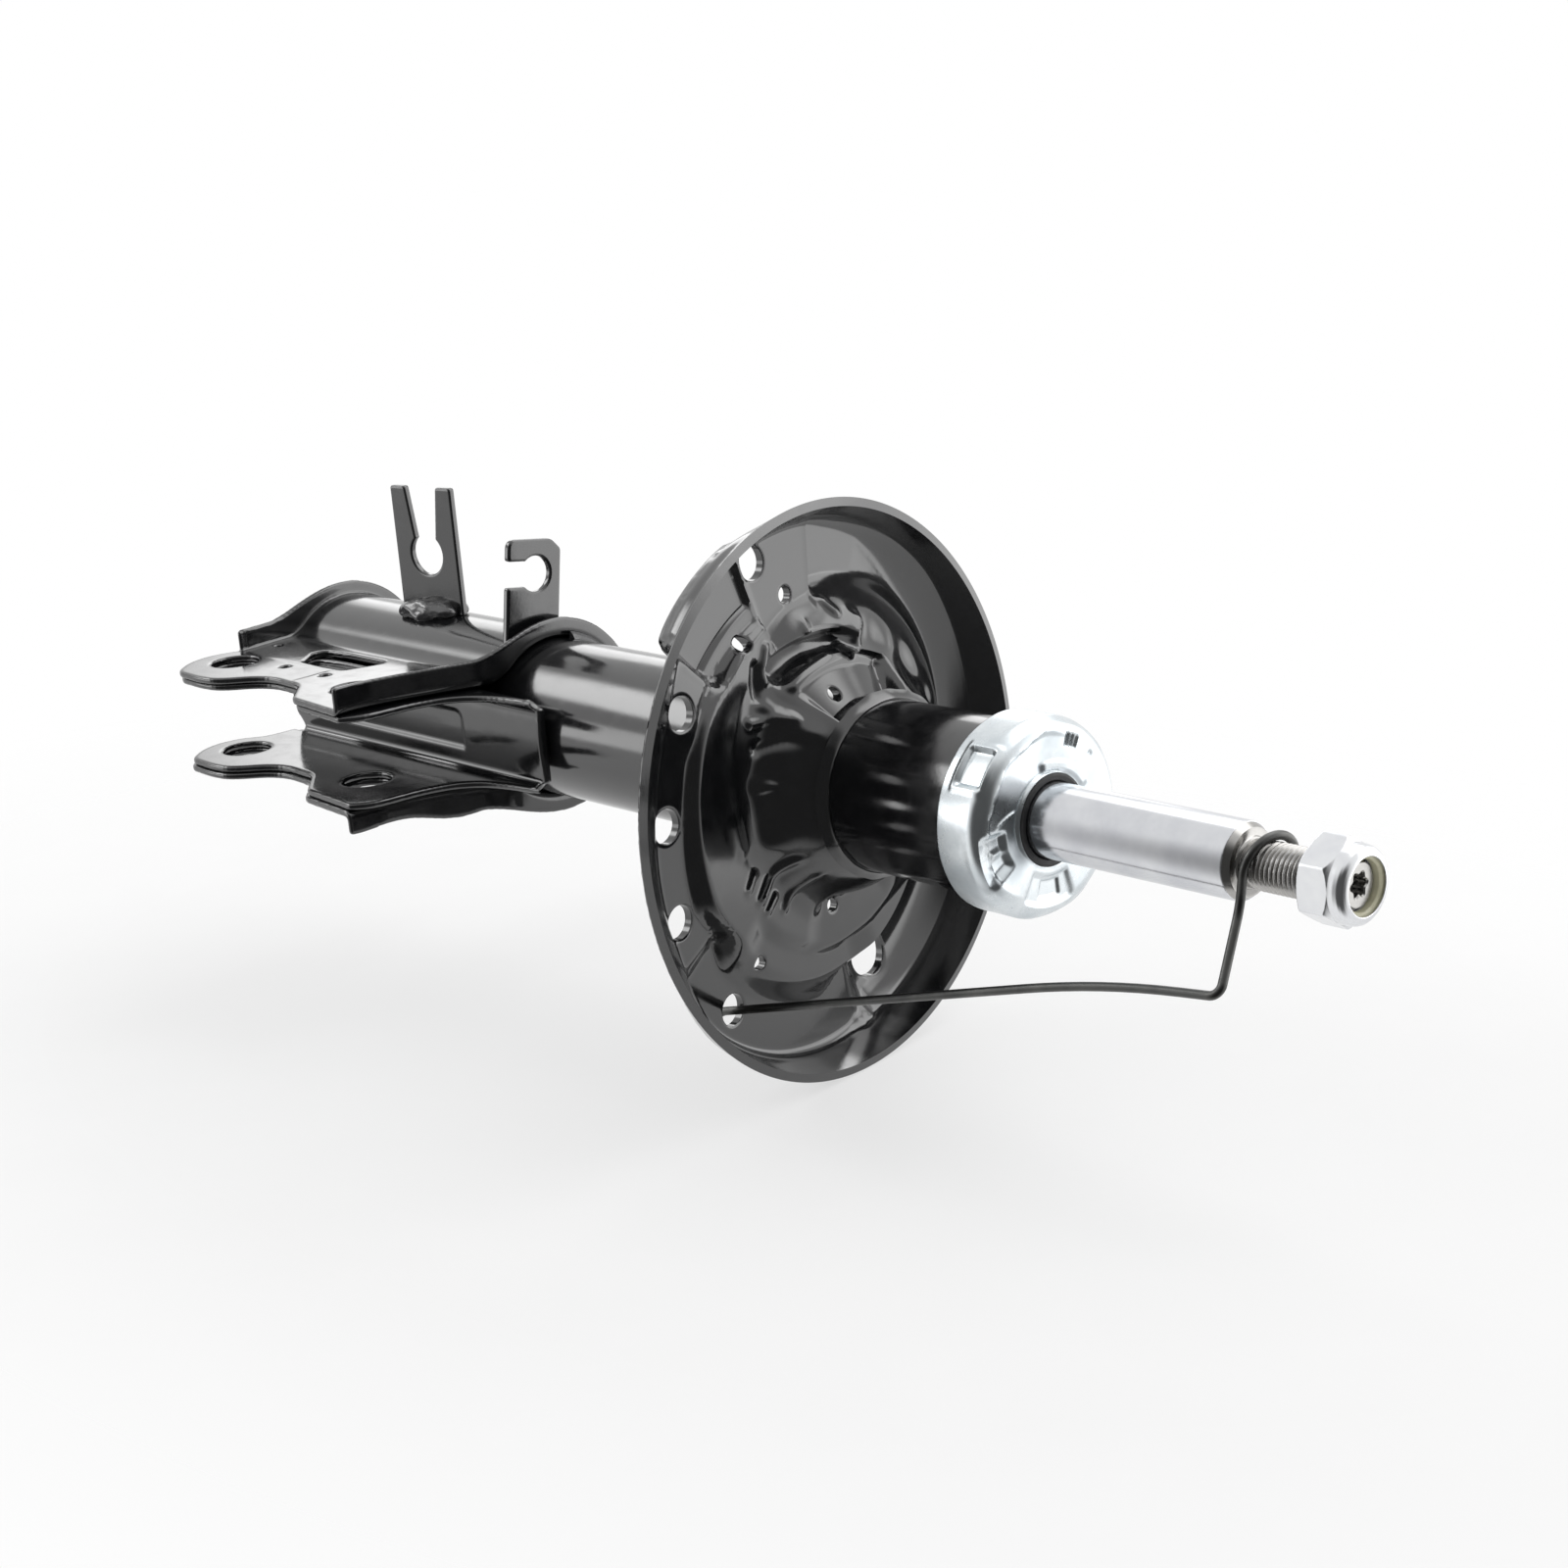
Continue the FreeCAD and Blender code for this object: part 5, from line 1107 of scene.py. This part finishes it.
def knuckle_bracket():
    """Pressed outer bracket: it wraps the tube, its edges turn up as flange and lip."""
    x, y, z = axes = grid_of((-2.0, -REACH, -FLANGE_RADIUS),
                             (BRACKET_END, FLANGE_RADIUS, FLANGE_RADIUS), NET_PITCH)
    drum, up = np.hypot(y, z), np.abs(z)
    outer = round_either(drum - WRAP_OUTER, np.maximum(up - EAR_OUTSIDE, y), 3.4)
    inner = round_either(drum - WRAP_INNER, np.maximum(up - EAR_INSIDE, y), 5.6)
    # the lower lip is lower toward its end, and wavy
    taper = np.where(z < 0, 2.4 * ease(y, -34.0, -REACH), 0.0)
    sway = np.where(z < 0, 0.9 * np.sin((y + 34.0) / 5.2) * ease(y, -30.0, -38.0), 0.0)
    crest = round_either(drum - FLANGE_RADIUS, np.maximum(up - LIP_TOP + taper + sway, y), 9.0)
    left = [(0.0, -24.0, 7.0), (0.0, 60.0, 0.1)]
    right = [(BRACKET_END - back, across, own) for back, across, own in (
        (0.0, 60.0, 0.1), (0.0, -26.0, 9.0), (5.5, -40.5, 6.0), (10.5, -53.5, 6.0),
        (14.5, -68.0, 5.0))]
    bent = outline_distance(rounded(
        [(-60.0, -47.0, 0.1), (2.6, -47.0, 0.1)] + left + right
        + [(BRACKET_END - 14.7, -120.0, 0.1), (-60.0, -120.0, 0.1)], 3.0), x, y)
    plan = outline_distance(rounded([(2.6, -47.0, 0.6)] + left + right + ear_outline(0.0), 3.0),
                            x, y)
    # a sheet along the wrap and the ears, turned up along the bent outline
    shape = round_both(-inner, bent, SHEET + 1.0)
    hollow = round_both(-outer, bent + SHEET, 1.0)
    shape = round_both(shape, -hollow, 0.05)
    ended = np.maximum(np.maximum(x - 60.0, y + 47.25), -outer)
    shape = round_both(shape, -ended, 0.3)
    shape = round_both(shape, plan, 0.8)
    shape = round_both(shape, crest, 0.9)
    bolts, upper = ear_openings(x, y, -29.0)
    holes = np.where(z > 0, upper, bolts)
    shape = np.where(y < -24.0, round_both(shape, -holes, 0.55), shape)
    piece("knuckle_bracket_pressing", net_mesh(shape, axes, NET_PITCH, 0.42), "knuckle_bracket",
          sharp=75.0)


def knuckle_channel():
    """Pressed inner channel with a crowned web, a panel in it and two flanges."""
    x, y, z = axes = grid_of((-2.0, -REACH, -EAR_INSIDE), (CHANNEL_STOP, -WEB_BACK, EAR_INSIDE),
                             NET_PITCH)
    up = np.abs(z)
    crown = 1.1 * np.clip(1.0 - (z / CHANNEL_INSIDE) ** 2, 0.0, 1.0)
    back = round_both(y + WEB_BACK, up - EAR_INSIDE, 4.6)
    front = round_both(y + WEB_FRONT + crown, up - CHANNEL_INSIDE, 2.6)
    left = [(CHANNEL_LEFT - 4.5, -40.0, 4.0), (CHANNEL_LEFT - 4.0, -WEB_BACK + 3.0, 0.5)]
    right = [(CHANNEL_STOP - short, -WEB_FRONT - across, own) for short, across, own in (
        (0.0, -5.4, 0.5), (0.0, 2.6, 1.5), (13.0, 4.2, 5.0), (24.0, 7.4, 5.0), (31.0, 13.4, 5.0),
        (35.0, 24.0, 5.0), (37.0, 42.6, 5.0))]
    plan = outline_distance(rounded(left + right + ear_outline(0.7), 3.0), x, y)
    panel = outline_distance(rounded(
        [(CHANNEL_LEFT - 12.0, -6.4, 0.1), (CHANNEL_LEFT + 97.0, -6.4, 0.6),
         (CHANNEL_LEFT + 97.0, 6.6, 4.0), (CHANNEL_LEFT - 12.0, 6.6, 0.1)], 2.0), x, z)
    front = np.where(up < 9.0, front - 0.75 * ease(panel, 0.5, -0.5), front)
    shape = round_both(back, -front, 0.05)
    shape = round_both(shape, plan, 0.8)
    # the web's own end and the notches beside it
    web_end = CHANNEL_LEFT - 7.0 + 0.68 * np.maximum(up - 2.0, 0.0) - x
    notch = np.hypot(x - CHANNEL_STOP + 0.5, up - EAR_INSIDE) - 3.2
    web = round_both(round_both(shape, web_end, 0.7), -notch, 0.5)
    bolts, upper = ear_openings(x, y, -(WEB_FRONT + 3.2))
    cheeks = round_both(shape, -np.where(z > 0, upper, bolts), 0.5)
    shape = np.where(y > -(WEB_FRONT + 2.4), web, cheeks)
    piece("knuckle_channel_pressing", net_mesh(shape, axes, NET_PITCH, 0.55), "knuckle_channel",
          sharp=75.0)


def plate_piece(name, outline, eye, place, node):
    """A punched plate on the wrap: outline and round eye in its own plane, rounded edges."""
    u, v, w = axes = grid_of((*outline.min(0), 0.0), (*outline.max(0), PLATE), PLATE_PITCH)
    flat = outline_distance(outline, u, v)
    flat = round_both(flat, eye[2] - to_spot(u, v, eye), 0.3)
    shape = round_both(flat, np.abs(w - PLATE / 2) - PLATE / 2, 0.6)
    y, z = place(u, v, w)[1:]
    shape = round_both(shape, WRAP_OUTER - np.hypot(y, z), 0.1)
    piece(name, net_mesh(shape, axes, PLATE_PITCH, 0.6, 1, place), node, sharp=180.0)


def hose_bracket():
    """Upright forked plate with a round seat below a narrow neck."""
    turn = math.radians(HOSE_TURN)

    def place(u, v, w):
        x = HOSE_STATION + u * math.cos(turn) + w * math.sin(turn)
        return x, u * math.sin(turn) - w * math.cos(turn), v

    half, top, throat, foot = HOSE_HALF_WIDTH + 0.7, 73.3, 54.9, 26.5
    right = [(half, foot, 0.1), (half, top, 1.2), (7.2, top, 1.0), (4.7, throat, 1.0)]
    outline = rounded(right + [(-u, v, own) for u, v, own in right[::-1]], 1.0)
    plate_piece("brake_hose_fork", outline, (0.0, 49.5, 7.2), place, "brake_hose_bracket")


def line_bracket():
    """C shaped plate for the sensor line, square to the tube and open toward the ears."""
    lean = math.radians(LINE_LEAN)

    def place(y, z, w):
        y = y - 7.4
        return (LINE_STATION + w, y * math.cos(lean) + z * math.sin(lean),
                z * math.cos(lean) - y * math.sin(lean))

    front, back, top, upper, lower = -11.7, 10.5, 59.0, 51.7, 43.1
    outline = rounded([(front, 22.5, 0.1), (back, 22.5, 0.1), (back, top - 3.4, 1.0),
                       (back - 4.2, top, 1.6), (front, top, 3.4), (front, upper, 1.2),
                       (-4.4, upper, 0.5), (-4.4, lower, 0.5), (front, lower, 1.2)], 1.0)
    plate_piece("sensor_line_plate", outline, (0.0, 47.4, 6.0), place, "sensor_line_bracket")


place_camera()
looks = make_materials()
paint_nodes()
make_floor()
make_world()
make_lamps()
spring_seat()
bump_cap()
piston_rod()
top_nut()
hose_welds()
seat_weld()
knuckle_bracket()
hose_bracket()
line_bracket()
knuckle_channel()

bpy.context.scene.view_settings.view_transform = "Standard"
